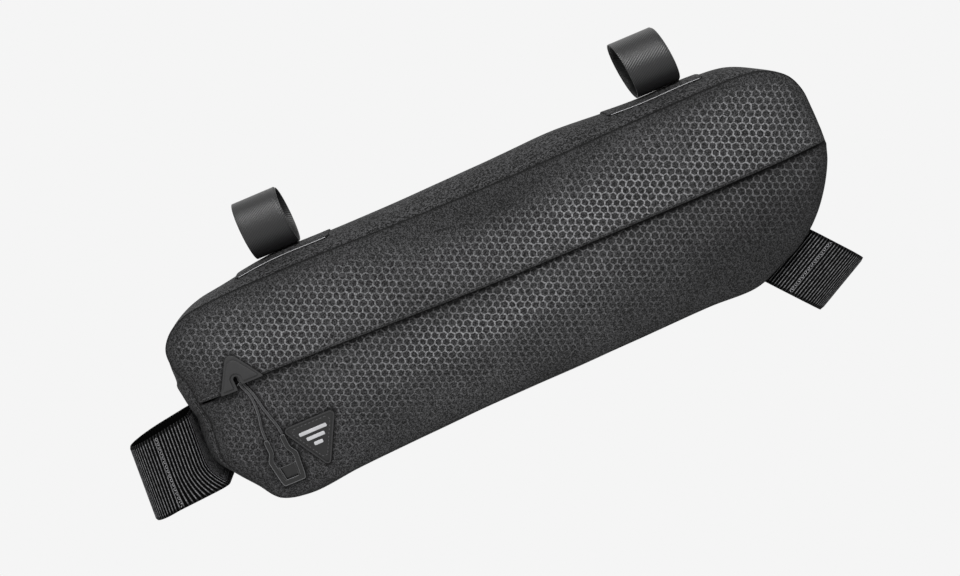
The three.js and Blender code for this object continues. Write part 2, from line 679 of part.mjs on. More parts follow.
export default group;
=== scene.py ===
"""Looks of a slim cloth frame bag with a flap-covered zip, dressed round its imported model.

The bag's cloth, straps, patches, zip and trim are modelled here in metres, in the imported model's own frame:
+X is toward the bag's front, -Y is the near side, +Z is up.
"""

import logging
import math
from dataclasses import dataclass
from enum import Enum
from typing import Callable

import bmesh
import bpy
import numpy as np
from mathutils import Euler, Matrix, Vector, noise


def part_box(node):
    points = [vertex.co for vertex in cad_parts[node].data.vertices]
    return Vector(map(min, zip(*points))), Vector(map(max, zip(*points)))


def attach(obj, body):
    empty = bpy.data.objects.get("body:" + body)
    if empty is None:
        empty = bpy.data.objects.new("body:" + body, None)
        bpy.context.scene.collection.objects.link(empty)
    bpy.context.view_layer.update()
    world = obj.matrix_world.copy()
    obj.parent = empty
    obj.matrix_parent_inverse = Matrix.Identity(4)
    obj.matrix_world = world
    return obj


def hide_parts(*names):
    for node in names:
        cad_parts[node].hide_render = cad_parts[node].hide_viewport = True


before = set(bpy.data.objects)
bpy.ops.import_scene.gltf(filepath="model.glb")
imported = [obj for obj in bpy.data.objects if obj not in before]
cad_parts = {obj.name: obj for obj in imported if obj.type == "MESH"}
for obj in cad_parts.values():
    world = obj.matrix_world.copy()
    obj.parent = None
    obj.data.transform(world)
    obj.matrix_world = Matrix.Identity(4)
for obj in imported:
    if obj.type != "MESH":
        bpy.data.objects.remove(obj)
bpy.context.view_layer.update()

LOG = logging.getLogger("frame_bag")
MM = 0.001
ROOT = "root"
CLEARANCE = 0.3 * MM
PANEL_WALL = 2.0 * MM
CELL = 3.0 * MM
WELD = 0.01 * MM
FULL_TURN = 2.0 * math.pi
PANEL_SEED = 3.7
GUSSET_SEED = 9.1
NEAR_OUT = Vector((0.0, -1.0, 0.0))

Array = np.ndarray
BMesh = bmesh.types.BMesh
Material = bpy.types.Material
Object = bpy.types.Object
Socket = bpy.types.NodeSocket
Tree = bpy.types.NodeTree
Outline = list[tuple[float, float]]
Place = Callable[[Array, Array], Array]


class Side(Enum):
    """Which side of the bag a panel is on, as the sign of its Y."""

    NEAR = -1
    FAR = 1


class Slot(Enum):
    """The record's material slots."""

    PANEL = "panel_cloth"
    PLAIN = "plain_cloth"
    ZIP = "zip_cloth"
    METAL = "zip_metal"
    WEBBING = "webbing"
    HOOK_LOOP = "hook_loop"
    RUBBER = "rubber"
    CORD = "cord"
    PALE = "pale_print"


@dataclass(frozen=True)
class Section:
    """One section of the seam outline, as shares of the bag's length, depth and greatest gusset crown."""

    top_along: float
    top_down: float
    top_crown: float
    bottom_along: float
    bottom_down: float
    bottom_crown: float


SECTIONS = (
    Section(0.013, 0.400, 1.00, 0.018, 0.500, 1.00),
    Section(0.011, 0.303, 1.00, 0.014, 0.600, 1.00),
    Section(0.002, 0.225, 0.45, 0.011, 0.690, 0.85),
    Section(0.003, 0.135, 0.08, 0.023, 0.780, 0.60),
    Section(0.020, 0.066, 0.05, 0.044, 0.876, 0.50),
    Section(0.050, 0.021, 0.08, 0.064, 0.966, 0.45),
    Section(0.106, 0.004, 0.25, 0.106, 0.999, 0.45),
    Section(0.189, 0.000, 0.60, 0.185, 0.981, 0.40),
    Section(0.273, 0.002, 0.62, 0.268, 0.967, 0.40),
    Section(0.375, 0.011, 0.74, 0.375, 0.953, 0.40),
    Section(0.463, 0.016, 0.88, 0.482, 0.945, 0.40),
    Section(0.565, 0.016, 1.00, 0.577, 0.941, 0.40),
    Section(0.649, 0.012, 1.00, 0.663, 0.936, 0.35),
    Section(0.773, 0.003, 0.62, 0.756, 0.929, 0.25),
    Section(0.863, 0.000, 0.60, 0.832, 0.932, 0.10),
    Section(0.918, 0.003, 0.42, 0.876, 0.880, 0.05),
    Section(0.952, 0.024, 0.10, 0.914, 0.825, 0.05),
    Section(0.981, 0.085, 0.08, 0.949, 0.733, 0.08),
    Section(0.994, 0.165, 0.06, 0.975, 0.625, 0.12),
    Section(0.998, 0.265, 0.06, 0.993, 0.515, 0.12),
    Section(1.000, 0.370, 0.08, 1.000, 0.440, 0.10),
)


@dataclass(frozen=True)
class Spot:
    """A soft spot of the side panels, placed and sized as shares of the bag."""

    along: float
    down: float
    reach_along: float
    reach_down: float
    gain: float

    def strength(self, along: Array, down: Array) -> Array:
        """How strongly it tells at shares of the bag's length and depth."""
        u = (along - self.along) / self.reach_along
        w = (down - self.down) / self.reach_down
        return self.gain * np.exp(-u * u - w * w)


DENTS = (
    Spot(0.55, 0.10, 0.12, 0.10, -0.16),
    Spot(0.76, 0.24, 0.09, 0.12, 0.14),
    Spot(0.24, 0.22, 0.10, 0.12, 0.10),
    Spot(0.53, 0.70, 0.13, 0.12, 0.12),
    Spot(0.68, 0.66, 0.06, 0.12, -0.10),
)

# Spots of painted light on the printed lines: positive gains show them more, negative gains are painted shade
# that shows them less.
PRINT_LIGHT_SPOTS = (
    Spot(0.19, 0.27, 0.15, 0.13, 0.62),
    Spot(0.50, 0.08, 0.17, 0.12, -0.45),
    Spot(0.68, 0.31, 0.20, 0.13, 0.80),
    Spot(0.91, 0.20, 0.10, 0.20, 0.38),
    Spot(0.42, 0.57, 0.22, 0.09, 0.62),
    Spot(0.84, 0.51, 0.14, 0.06, 0.26),
    Spot(0.09, 0.62, 0.12, 0.26, -0.13),
    Spot(0.05, 0.33, 0.06, 0.16, -0.34),
    Spot(0.85, 0.80, 0.22, 0.15, -0.26),
)

REAR_CORD = (
    (-178.3, -34.7, -80.9), (-178.1, -34.7, -82.6), (-177.5, -34.8, -84.6), (-176.6, -35.1, -86.8),
    (-175.6, -36.0, -89.2), (-174.9, -36.9, -91.8), (-174.6, -37.8, -94.4), (-174.5, -38.6, -97.0),
    (-174.5, -39.4, -99.8), (-174.8, -39.5, -102.8), (-175.4, -39.5, -106.0), (-176.2, -39.4, -109.2),
    (-176.8, -39.4, -112.4), (-177.1, -39.4, -115.6), (-177.2, -39.2, -119.3),
)
FRONT_CORD = (
    (-176.2, -34.9, -80.9), (-175.9, -35.0, -82.6), (-175.3, -35.1, -84.6), (-174.5, -35.4, -86.8),
    (-173.5, -36.2, -89.2), (-172.6, -37.2, -91.8), (-171.9, -38.1, -94.4), (-171.2, -39.0, -97.0),
    (-170.6, -39.9, -99.8), (-169.9, -40.1, -102.8), (-169.1, -40.2, -106.0), (-168.3, -40.3, -109.2),
    (-167.4, -40.4, -112.4), (-166.8, -40.5, -115.6), (-166.6, -40.3, -119.3),
)


def smooth_step(value: Array) -> Array:
    """Eases 0 to 1 over the range 0 to 1, and is flat outside it."""
    share = np.clip(value, 0.0, 1.0)
    return share * share * (3.0 - 2.0 * share)


def eased_shares(count: int) -> Array:
    """Shares from 0 to 1 that lie closer together toward both ends."""
    return (1.0 - np.cos(np.linspace(0.0, math.pi, count + 1))) / 2.0


def round_chain(rows: Array, steps: int = 24) -> Array:
    """Draws a centripetal Catmull-Rom curve through rows whose first two columns are places.

    Args:
        rows: One row for each point, with any further columns carried along.
        steps: Points for each span.

    Returns:
        The curve's points, with the same columns.
    """
    ends = np.vstack([2 * rows[0] - rows[1], rows, 2 * rows[-1] - rows[-2]])
    spans = []
    for a, b, c, d in zip(ends, ends[1:], ends[2:], ends[3:]):
        t1 = np.linalg.norm((b - a)[:2]) ** 0.5
        t2 = t1 + np.linalg.norm((c - b)[:2]) ** 0.5
        t3 = t2 + np.linalg.norm((d - c)[:2]) ** 0.5
        t = np.linspace(t1, t2, steps, endpoint=False)[:, None]
        ab = ((t1 - t) * a + t * b) / t1
        bc = ((t2 - t) * b + (t - t1) * c) / (t2 - t1)
        cd = ((t3 - t) * c + (t - t2) * d) / (t3 - t2)
        abc = ((t2 - t) * ab + t * bc) / t2
        bcd = ((t3 - t) * bc + (t - t1) * cd) / (t3 - t1)
        spans.append(((t2 - t) * abc + (t - t1) * bcd) / (t2 - t1))
    return np.vstack(spans + [rows[-1:]])


class Chain:
    """A line of points that can be read at any share of its length."""

    def __init__(self, points: Array) -> None:
        """Takes the points, whose first two columns are places."""
        self.points = points
        lengths = np.linalg.norm(np.diff(points[:, :2], axis=0), axis=1)
        self.reach = np.concatenate([[0.0], np.cumsum(lengths)])
        self.length = float(self.reach[-1])

    def at(self, share: Array) -> Array:
        """Reads the chain.

        Args:
            share: Shares of its length.

        Returns:
            One row of columns for each share.
        """
        places = np.asarray(share) * self.length
        columns = [np.interp(places, self.reach, column) for column in self.points.T]
        return np.stack(columns, axis=-1)


@dataclass
class BagForm:
    """The bag's outer form: its seam outline, how its panels puff out and how its gusset is crowned."""

    crown: float = 12.0 * MM
    crown_power: float = 2.4
    bulge: float = 9.0 * MM
    bulge_reach: float = 58.0 * MM
    bulge_power: float = 2.2
    seam_dip: float = 1.5 * MM
    seam_reach: float = 1.3 * MM
    fold: float = 0.5 * MM
    flap_drop: float = 56.2 * MM
    flap_lap: float = 3.0 * MM
    zip_depth: float = 4.6 * MM
    inset_reach: float = 17.0 * MM
    zip_margin: float = 15.0 * MM
    notch_along: float = 35.0 * MM
    notch_width: float = 3.6 * MM
    notch_height: float = 8.3 * MM
    flap_rise: float = 2.6 * MM
    flap_fall: float = 4.1 * MM
    fall_start: float = 40.0 * MM
    fall_reach: float = 190.0 * MM
    fold_scale: tuple[float, float] = (26.0, 40.0)
    settle_reach: float = 12.0 * MM
    # These set the painted sheen of the printed lines: its base strength and how it fades toward the seams.
    print_base: float = 0.34
    print_margin: float = 2.0 * MM
    print_fade: float = 11.0 * MM
    hem_margin: float = 1.4 * MM
    hem_fade: float = 1.6 * MM

    def __post_init__(self) -> None:
        """Takes the bag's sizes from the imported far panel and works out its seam."""
        low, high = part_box("far_panel")
        self.rear = low[0]
        self.length = high[0] - low[0]
        self.top = high[2]
        self.depth = high[2] - low[2]
        self.half_width = low[1] + PANEL_WALL
        self.gusset_half = self.half_width - PANEL_WALL - CLEARANCE
        self.flap_z = self.top - self.flap_drop
        self.top_chain = self._chain("top")
        self.bottom_chain = self._chain("bottom")
        loop = np.vstack([self.top_chain.points, self.bottom_chain.points[::-1], self.top_chain.points[:1]])
        self.loop = Chain(loop)
        self.segments = self.loop.at(np.linspace(0.0, 1.0, 361))[:, :2]

    def _chain(self, which: str) -> Chain:
        """Builds the seam over the top or along the bottom."""
        rows = [
            (
                self.rear + getattr(row, f"{which}_along") * self.length,
                self.top - getattr(row, f"{which}_down") * self.depth,
                getattr(row, f"{which}_crown") * self.crown,
            )
            for row in SECTIONS
        ]
        return Chain(round_chain(np.array(rows)))

    def seam_distance(self, x: Array, z: Array) -> Array:
        """Measures how far places in the side plane lie from the seam."""
        start = self.segments[:-1]
        span = self.segments[1:] - start
        square = np.maximum((span**2).sum(axis=1), 1e-12)
        found = []
        for chunk in np.array_split(np.stack([x, z], axis=1), max(1, len(x) // 4000)):
            offset = chunk[:, None, :] - start[None]
            share = np.clip((offset * span).sum(axis=2) / square, 0.0, 1.0)
            found.append(np.sqrt(((offset - share[..., None] * span) ** 2).sum(axis=2)).min(axis=1))
        return np.concatenate(found)

    def shares(self, x: Array, z: Array) -> tuple[Array, Array]:
        """Turns places in the side plane into shares of the bag's length and depth."""
        return (x - self.rear) / self.length, (self.top - z) / self.depth

    def puff(self, x: Array, z: Array, distance: Array) -> Array:
        """Works out how far a side panel stands past the seams' plane."""
        inward = np.minimum(distance / self.bulge_reach, 1.0)
        lift = 1.0 + sum(dent.strength(*self.shares(x, z)) for dent in DENTS)
        return self.bulge * (1.0 - (1.0 - inward) ** self.bulge_power) * lift

    def folds(self, x: Array, z: Array, seed: float) -> Array:
        """Soft unevenness of stretched cloth, a few centimetres across."""
        along, down = self.fold_scale
        places = [Vector((a * along, b * down, seed)) for a, b in zip(x, z)]
        return self.fold * np.array([noise.noise(place) for place in places])

    def upper_face(self, x: Array, z: Array) -> Array:
        """Outer face of the upper near panel, as a depth in Y past the middle plane."""
        distance = self.seam_distance(x, z)
        dip = self.seam_dip * np.exp(-distance / self.seam_reach)
        settle = np.minimum(distance / self.settle_reach, 1.0)
        return self.half_width + self.puff(x, z, distance) - dip + settle * self.folds(x, z, PANEL_SEED)

    def lower_face(self, x: Array, z: Array) -> Array:
        """Outer face of the lower near panel, which dives in behind the flap."""
        fade = smooth_step(self.seam_distance(x, z) / (self.zip_margin - 2.0 * MM))
        inset = self.zip_depth * fade * (1.0 - smooth_step((self.flap_z - z) / self.inset_reach))
        return self.upper_face(x, z) - inset

    def flap_foot(self, x: Array) -> Array:
        """Height of the flap's lower edge: it steps up at the notch and sinks again toward the front."""
        along = x - self.rear
        step = smooth_step((along - self.notch_along + self.notch_width / 2.0) / self.notch_width)
        fall = smooth_step((along - self.fall_start) / self.fall_reach)
        return self.flap_z + step * (self.flap_rise - self.flap_fall * fall)

    def print_strength(self, x: Array, z: Array, side: Side) -> Array:
        """How strongly the printed lines show, as painted sheen: most on the swells where light falls, least
        near the seams and the foot, which turn from the light.
        """
        along, down = self.shares(x, z)
        strength = self.print_base + sum(glow.strength(along, down) for glow in PRINT_LIGHT_SPOTS)
        seam = smooth_step((self.seam_distance(x, z) - self.print_margin) / self.print_fade)
        foot = 1.0 - 0.6 * smooth_step((down - 0.7) / 0.2)
        if side is Side.NEAR:
            rise = z - self.flap_foot(x)
            shown = smooth_step((rise - self.hem_margin) / self.hem_fade)
            strength = strength * np.where(rise > -0.3 * MM, shown, 1.0)
        return np.clip(strength * seam * foot, 0.0, 1.0)

    def side_crossings(self, z: float) -> tuple[float, float]:
        """The X where the seam crosses a height at the rear and at the front."""
        points = self.segments
        crossings = []
        for (x0, z0), (x1, z1) in zip(points, points[1:]):
            if (z0 - z) * (z1 - z) <= 0 and z0 != z1:
                crossings.append(x0 + (x1 - x0) * (z - z0) / (z1 - z0))
        return min(crossings), max(crossings)

    def crown_line(self, share: Array) -> tuple[Array, Array, Array]:
        """Reads the seam loop.

        Args:
            share: Shares of the way round, from the rear over the top.

        Returns:
            Places in X and Z, the directions that point out of the bag there, and the gusset's rise.
        """
        rows = self.loop.at(share)
        step = 1.0 / 900.0
        ahead = self.loop.at((share + step) % 1.0)[:, :2]
        behind = self.loop.at((share - step) % 1.0)[:, :2]
        along = ahead - behind
        along /= np.maximum(np.linalg.norm(along, axis=1), 1e-9)[:, None]
        outward = np.stack([-along[:, 1], along[:, 0]], axis=1)
        return rows[:, :2], outward, rows[:, 2]

    def gusset_lift(self, rise: Array, y: Array) -> Array:
        """How far the gusset's outer face stands past the seams at a distance from the middle plane."""
        share = np.minimum(np.abs(y) / self.gusset_half, 1.0)
        edge = (1.0 - share) * self.gusset_half
        return rise * (1.0 - share**self.crown_power) - self.seam_dip * np.exp(-edge / self.seam_reach)

    def top_surface(self, x: Array, y: Array) -> Array:
        """Height of the gusset's outer face over the top of the bag."""
        points = self.top_chain.points
        keep = slice(int(np.argmin(points[:, 0])), int(np.argmax(points[:, 0])))
        order = points[keep]
        seam = np.interp(x, order[:, 0], order[:, 1])
        rise = np.interp(x, order[:, 0], order[:, 2])
        return seam + self.gusset_lift(rise, y)


def stand_off(spot: Array, outward: Array, lift: Array, y: Array) -> Array:
    """Places that stand out from a line by a lift, at distances from the middle plane."""
    return np.stack([spot[:, 0] + outward[:, 0] * lift, y, spot[:, 1] + outward[:, 1] * lift], axis=1)


def arc(middle: tuple[float, float], radius: float, start: float, stop: float, count: int) -> Outline:
    """Points round a middle, from one angle to another."""
    angles = np.linspace(start, stop, count)
    return [(middle[0] + radius * math.cos(a), middle[1] + radius * math.sin(a)) for a in angles]


def rectangle(left: float, right: float, foot: float, head: float) -> Outline:
    """The corners of an upright rectangle."""
    return [(left, foot), (right, foot), (right, head), (left, head)]


def vertex_spots(builder: BMesh) -> Array:
    """The places of a mesh's vertices, one row each."""
    return np.array([vertex.co for vertex in builder.verts])


def link(item: Object) -> Object:
    """Puts an object into the scene and returns it."""
    bpy.context.scene.collection.objects.link(item)
    return item


def new_object(name: str, builder: BMesh) -> Object:
    """Turns a bmesh, which is freed, into a smooth object at the origin."""
    mesh = bpy.data.meshes.new(name)
    for face in builder.faces:
        face.smooth = True
    builder.to_mesh(mesh)
    builder.free()
    return link(bpy.data.objects.new(name, mesh))


def dress(piece: Object, material: Material, slot: Slot, *nodes: str) -> None:
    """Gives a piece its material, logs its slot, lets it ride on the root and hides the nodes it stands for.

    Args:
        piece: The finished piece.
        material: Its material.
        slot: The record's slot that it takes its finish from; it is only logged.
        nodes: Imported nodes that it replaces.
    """
    piece.data.materials.clear()
    piece.data.materials.append(material)
    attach(piece, ROOT)
    if nodes:
        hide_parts(*nodes)
    LOG.info("%s: slot %s, stands for %s", piece.name, slot.value, ", ".join(nodes) or "nothing")


def add_piece(name: str, builder: BMesh, material: Material, slot: Slot, *nodes: str) -> Object:
    """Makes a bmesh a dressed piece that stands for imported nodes, and returns it."""
    piece = new_object(name, builder)
    dress(piece, material, slot, *nodes)
    return piece


def mapped_grid(columns: int, rows: Array, place: Place, size: tuple[float, float]) -> BMesh:
    """Makes a grid and lays it on a surface.

    Args:
        columns: Faces along the first direction.
        rows: Shares of the second direction at which vertices lie.
        place: Gives places for arrays of shares.
        size: Length and width of the surface, which its UV map is in.

    Returns:
        The laid grid, with a UV map in metres.
    """
    builder = bmesh.new()
    uv = builder.loops.layers.uv.new("UVMap")
    bmesh.ops.create_grid(builder, x_segments=columns, y_segments=len(rows) - 1, size=0.5)
    flat = np.array([vertex.co[:2] for vertex in builder.verts]) + 0.5
    across = rows[np.rint(flat[:, 1] * (len(rows) - 1)).astype(int)]
    places = place(flat[:, 0], across)
    for vertex, spot in zip(builder.verts, places):
        vertex.co = spot
    for face in builder.faces:
        for loop in face.loops:
            index = loop.vert.index
            loop[uv].uv = (flat[index, 0] * size[0], across[index] * size[1])
    return builder


def face_outward(builder: BMesh, away: Callable[[Vector], Vector]) -> None:
    """Turns all faces if most of them look against the way that away gives for their middles."""
    builder.normal_update()
    votes = sum(face.normal.dot(away(face.calc_center_median())) for face in builder.faces)
    if votes < 0:
        bmesh.ops.reverse_faces(builder, faces=builder.faces[:])


def orient(builder: BMesh) -> None:
    """Turns the faces of a closed solid outward."""
    bmesh.ops.recalc_face_normals(builder, faces=builder.faces[:])


def weld(builder: BMesh, reach: float = WELD) -> None:
    """Joins the vertices that meet where a surface closes on itself."""
    bmesh.ops.remove_doubles(builder, verts=builder.verts[:], dist=reach)


def paint(builder: BMesh, name: str, measure: Callable[[Array], Array]) -> None:
    """Writes to each vertex a value that measure works out from the places, for a material to read."""
    layer = builder.verts.layers.float.new(name)
    for vertex, value in zip(builder.verts, measure(vertex_spots(builder))):
        vertex[layer] = value


def add_wall(piece: Object, thickness: float) -> None:
    """Gives a sheet its thickness, inward from the modelled face."""
    wall = piece.modifiers.new("wall", "SOLIDIFY")
    wall.thickness = thickness
    wall.offset = -1.0
    wall.use_even_offset = False


def sweep(builder: BMesh, step: tuple[float, float, float], keep: bool) -> None:
    """Makes a sheet a closed solid by pushing it along a step.

    Args:
        builder: Holds the sheet.
        step: How far it is pushed.
        keep: Whether the operator keeps the faces that it starts from.
    """
    swept = bmesh.ops.extrude_face_region(builder, geom=builder.faces[:], use_keep_orig=keep)
    moved = [item for item in swept["geom"] if isinstance(item, bmesh.types.BMVert)]
    bmesh.ops.translate(builder, verts=moved, vec=step)
    orient(builder)


def round_corners(builder: BMesh, corners: list, reach: float, segments: int) -> None:
    """Rounds corners of a flat face, each as far along its edges as reach."""
    bmesh.ops.bevel(
        builder, geom=corners, offset=reach, offset_type="OFFSET", segments=segments, profile=0.5,
        affect="VERTICES", material=-1,
    )


def cut_across(builder: BMesh, at: Vector, normal: tuple[float, float, float]) -> None:
    """Cuts the faces along a plane and takes none away."""
    everything = builder.verts[:] + builder.edges[:] + builder.faces[:]
    bmesh.ops.bisect_plane(builder, geom=everything, plane_co=at, plane_no=normal)


def flat_face(corners: Outline) -> tuple[BMesh, list[bmesh.types.BMVert]]:
    """Makes one flat face in X and Z, and gives its vertices in the corners' order."""
    builder = bmesh.new()
    vertices = [builder.verts.new((x, 0.0, z)) for x, z in corners]
    builder.faces.new(vertices)
    return builder, vertices


def flat_outline(corners: Outline, radius: float, segments: int) -> BMesh:
    """Makes one flat face in X and Z whose corners are rounded as far along their edges as radius."""
    builder, _ = flat_face(corners)
    round_corners(builder, builder.verts[:], radius, segments)
    return builder


def raise_slab(builder: BMesh, thickness: float, bevel: float, cell: float = CELL) -> None:
    """Makes a flat face in X and Z a slab out along -Y, rounds its edges and cuts it into cells to drape.

    Args:
        builder: Holds the flat face.
        thickness: The slab's thickness.
        bevel: Rounding of its edges.
        cell: Largest size of the cells that it is cut into.
    """
    sweep(builder, (0.0, -thickness, 0.0), False)
    level = thickness * 0.1
    rims = [edge for edge in builder.edges if abs(edge.verts[0].co.y - edge.verts[1].co.y) < level]
    bmesh.ops.bevel(
        builder, geom=rims, offset=bevel, offset_type="OFFSET", segments=3, profile=0.5,
        affect="EDGES", material=-1, clamp_overlap=True,
    )
    spots = vertex_spots(builder)
    for axis, normal in ((0, (1, 0, 0)), (2, (0, 0, 1))):
        low, high = spots[:, axis].min(), spots[:, axis].max()
        for step in range(1, int((high - low) / cell) + 1):
            at = Vector((0.0, 0.0, 0.0))
            at[axis] = low + step * cell
            cut_across(builder, at, normal)


def drape(builder: BMesh, face: Place, lift: float) -> None:
    """Moves a slab out of the plane y = 0 onto a near face, with a clearance of lift."""
    spots = vertex_spots(builder)
    depth = face(spots[:, 0], spots[:, 2]) + lift
    for vertex, shift in zip(builder.verts, depth):
        vertex.co.y -= shift


def draped_slab(
    corners: Outline, rounding: tuple[float, int], size: tuple[float, float], face: Place, lift: float,
    cell: float = CELL,
) -> BMesh:
    """Makes a slab with rounded corners and lays it on a near face.

    Args:
        corners: Its corners in X and Z.
        rounding: How far each corner's rounding reaches, and the faces of each rounding.
        size: The slab's thickness and the rounding of its edges.
        face: Gives the face's depth for arrays of X and Z.
        lift: Clearance above the face.
        cell: Largest size of its cells.

    Returns:
        The laid slab.
    """
    builder = flat_outline(corners, *rounding)
    raise_slab(builder, *size, cell)
    drape(builder, face, lift)
    return builder


def merge(builder: BMesh, part: BMesh) -> None:
    """Moves one bmesh's faces into another and frees it."""
    spare = bpy.data.meshes.new("spare")
    part.to_mesh(spare)
    part.free()
    builder.from_mesh(spare, face_normals=False, vertex_normals=False)
    bpy.data.meshes.remove(spare)


def add_grains(builder: BMesh, places: list[Matrix]) -> None:
    """Adds small rounded grains, such as stitches and teeth, in batches that keep the work quick."""
    for start in range(0, len(places), 24):
        batch = bmesh.new()
        for place in places[start:start + 24]:
            bmesh.ops.create_uvsphere(batch, u_segments=6, v_segments=4, radius=1.0, matrix=place)
        merge(builder, batch)


def sew(builder: BMesh, path: Array, normals: Array, length: float, pitch: float, radius: float) -> None:
    """Lays a row of thread stitches along a path.

    Args:
        builder: Receives the stitches.
        path: Points of the path.
        normals: The direction out of the cloth at each point.
        length: Length of a stitch.
        pitch: Distance from one stitch to the next.
        radius: Half the thread's thickness.
    """
    steps = np.linalg.norm(np.diff(path, axis=0), axis=1)
    reach = np.concatenate([[0.0], np.cumsum(steps)])

    def read(rows: Array, at: float) -> Vector:
        """Reads rows at a distance along the path."""
        return Vector([np.interp(at, reach, rows[:, k]) for k in range(3)])

    places = []
    for at in np.arange(pitch / 2, reach[-1] - pitch / 2 + 1e-9, pitch):
        first, last = (read(path, at + side * length / 2) for side in (-1, 1))
        out = read(normals, at).normalized()
        along = (last - first).normalized()
        aside = along.cross(out).normalized()
        turn = Matrix((along, aside, along.cross(aside).normalized())).transposed().to_4x4()
        size = Matrix.Diagonal((length / 2, radius, radius, 1.0))
        places.append(Matrix.Translation((first + last) / 2) @ turn @ size)
    add_grains(builder, places)


def by_name(node: bpy.types.Node) -> dict[str, Socket]:
    """A node's outputs by their names."""
    return {socket.name: socket for socket in node.outputs}


class Board:
    """A node tree being wired."""

    def __init__(self, tree: Tree) -> None:
        """Takes the tree and clears it."""
        self.tree = tree
        tree.nodes.clear()

    def node(self, kind: str, settings: dict | None = None, **inputs: object) -> bpy.types.Node:
        """Adds a node.

        Args:
            kind: Its Blender type, without ShaderNode in front.
            settings: Properties to set on it.
            inputs: Values or sockets by input name, with _ for a space, or in_N by number.

        Returns:
            The node.
        """
        node = self.tree.nodes.new(kind if kind.startswith("Node") else f"ShaderNode{kind}")
        for key, value in (settings or {}).items():
            setattr(node, key, value)
        for key, value in inputs.items():
            by_number = key.startswith("in_")
            socket = node.inputs[int(key[3:]) if by_number else key.replace("_", " ")]
            if isinstance(value, Socket):
                self.tree.links.new(value, socket)
            else:
                socket.default_value = value
        return node

    def _numbered(self, kind: str, settings: dict, values: tuple[object, ...]) -> bpy.types.Node:
        """Adds a node whose inputs are given by their order."""
        return self.node(kind, settings, **{f"in_{index}": value for index, value in enumerate(values)})

    def math(self, operation: str, *values: object) -> Socket:
        """Adds a Math node and returns its output."""
        return self._numbered("Math", {"operation": operation}, values).outputs[0]

    def times(self, first: object, second: object) -> Socket:
        """Multiplies two values."""
        return self.math("MULTIPLY", first, second)

    def wave(self, kind: str, value: object, pitch: float) -> Socket:
        """A sine or cosine that repeats with a pitch."""
        return self.math(kind, self.times(value, FULL_TURN / pitch))

    def vector(self, operation: str, *values: object, output: int = 0) -> Socket:
        """Adds a Vector Math node and returns one of its outputs."""
        return self._numbered("VectorMath", {"operation": operation}, values).outputs[output]

    def scaled(self, vector: object, factor: Socket) -> Socket:
        """Scales a vector or colour."""
        return self.node("VectorMath", {"operation": "SCALE"}, in_0=vector, Scale=factor).outputs[0]

    def split(self, vector: object) -> list[Socket]:
        """Splits a vector into its three parts."""
        return list(self.node("SeparateXYZ", Vector=vector).outputs)

    def turned(self, vector: object, y: float, z: float) -> Socket:
        """Turns places by degrees about Y and Z."""
        rotation = (0.0, math.radians(y), math.radians(z))
        return self.node("Mapping", Vector=vector, Rotation=rotation).outputs[0]

    def place(self, kind: str = "Object") -> Socket:
        """Gives the object's or the UV map's coordinates."""
        return self.node("TexCoord").outputs[kind]

    def attribute(self, name: str) -> Socket:
        """Reads a value that is painted on the vertices."""
        return self.node("Attribute", {"attribute_name": name}).outputs["Fac"]

    def effect(self, group: Tree, vector: object, **inputs: object) -> dict[str, Socket]:
        """Adds a shared effect and returns its outputs."""
        return by_name(self.node("Group", {"node_tree": group}, Vector=vector, **inputs))

    def ramp(self, value: object, low: float, high: float, to_low: float, to_high: float) -> Socket:
        """Maps a range smoothly onto another and returns the output."""
        return self.node(
            "MapRange", {"interpolation_type": "SMOOTHSTEP"},
            Value=value, From_Min=low, From_Max=high, To_Min=to_low, To_Max=to_high,
        ).outputs[0]

    def mix(self, share: object, first: object, second: object) -> Socket:
        """Mixes two colours and returns the output."""
        return self.node("Mix", {"data_type": "RGBA"}, in_0=share, in_6=first, in_7=second).outputs[2]

    def noise(self, vector: object, scale: object, detail: float, output: str = "Fac") -> Socket:
        """Adds a noise texture and returns its value or colour."""
        return self.node("TexNoise", Vector=vector, Scale=scale, Detail=detail).outputs[output]


def grey(value: float) -> tuple[float, float, float, float]:
    """A neutral grey, a touch cool."""
    return (value, value, value * 1.03, 1.0)


def effect_group(
    name: str, inputs: dict[str, float], outputs: tuple[str, ...],
) -> tuple[Board, dict[str, Socket]]:
    """Starts a shader node group that reads places.

    Args:
        name: Its name.
        inputs: Default value by name of its further inputs.
        outputs: Names of its float outputs.

    Returns:
        The empty group's board, and its inputs' sockets.
    """
    tree = bpy.data.node_groups.new(name, "ShaderNodeTree")
    tree.interface.new_socket(name="Vector", in_out="INPUT", socket_type="NodeSocketVector")
    for key, value in inputs.items():
        socket = tree.interface.new_socket(name=key, in_out="INPUT", socket_type="NodeSocketFloat")
        socket.default_value = value
    for key in outputs:
        tree.interface.new_socket(name=key, in_out="OUTPUT", socket_type="NodeSocketFloat")
    board = Board(tree)
    return board, by_name(board.node("NodeGroupInput"))


def weave_group() -> Tree:
    """A woven ground: crossing threads of a pitch, and flecks of paler yarn."""
    board, entry = effect_group("weave", {"Pitch": 0.6 * MM}, ("Height", "Fleck"))
    parts = board.split(board.scaled(entry["Vector"], board.math("DIVIDE", FULL_TURN, entry["Pitch"])))
    slanted = board.math("ADD", parts[2], parts[1])
    height = board.times(board.math("SINE", parts[0]), board.math("SINE", slanted))
    coarse = board.times(board.noise(entry["Vector"], 1050.0, 2.0), 0.55)
    fine = board.times(board.noise(entry["Vector"], 2300.0, 1.0), 0.45)
    board.node(
        "NodeGroupOutput", Height=board.math("MULTIPLY_ADD", height, 0.5, 0.5),
        Fleck=board.ramp(board.math("ADD", coarse, fine), 0.44, 0.58, 0.0, 1.0),
    )
    return board.tree


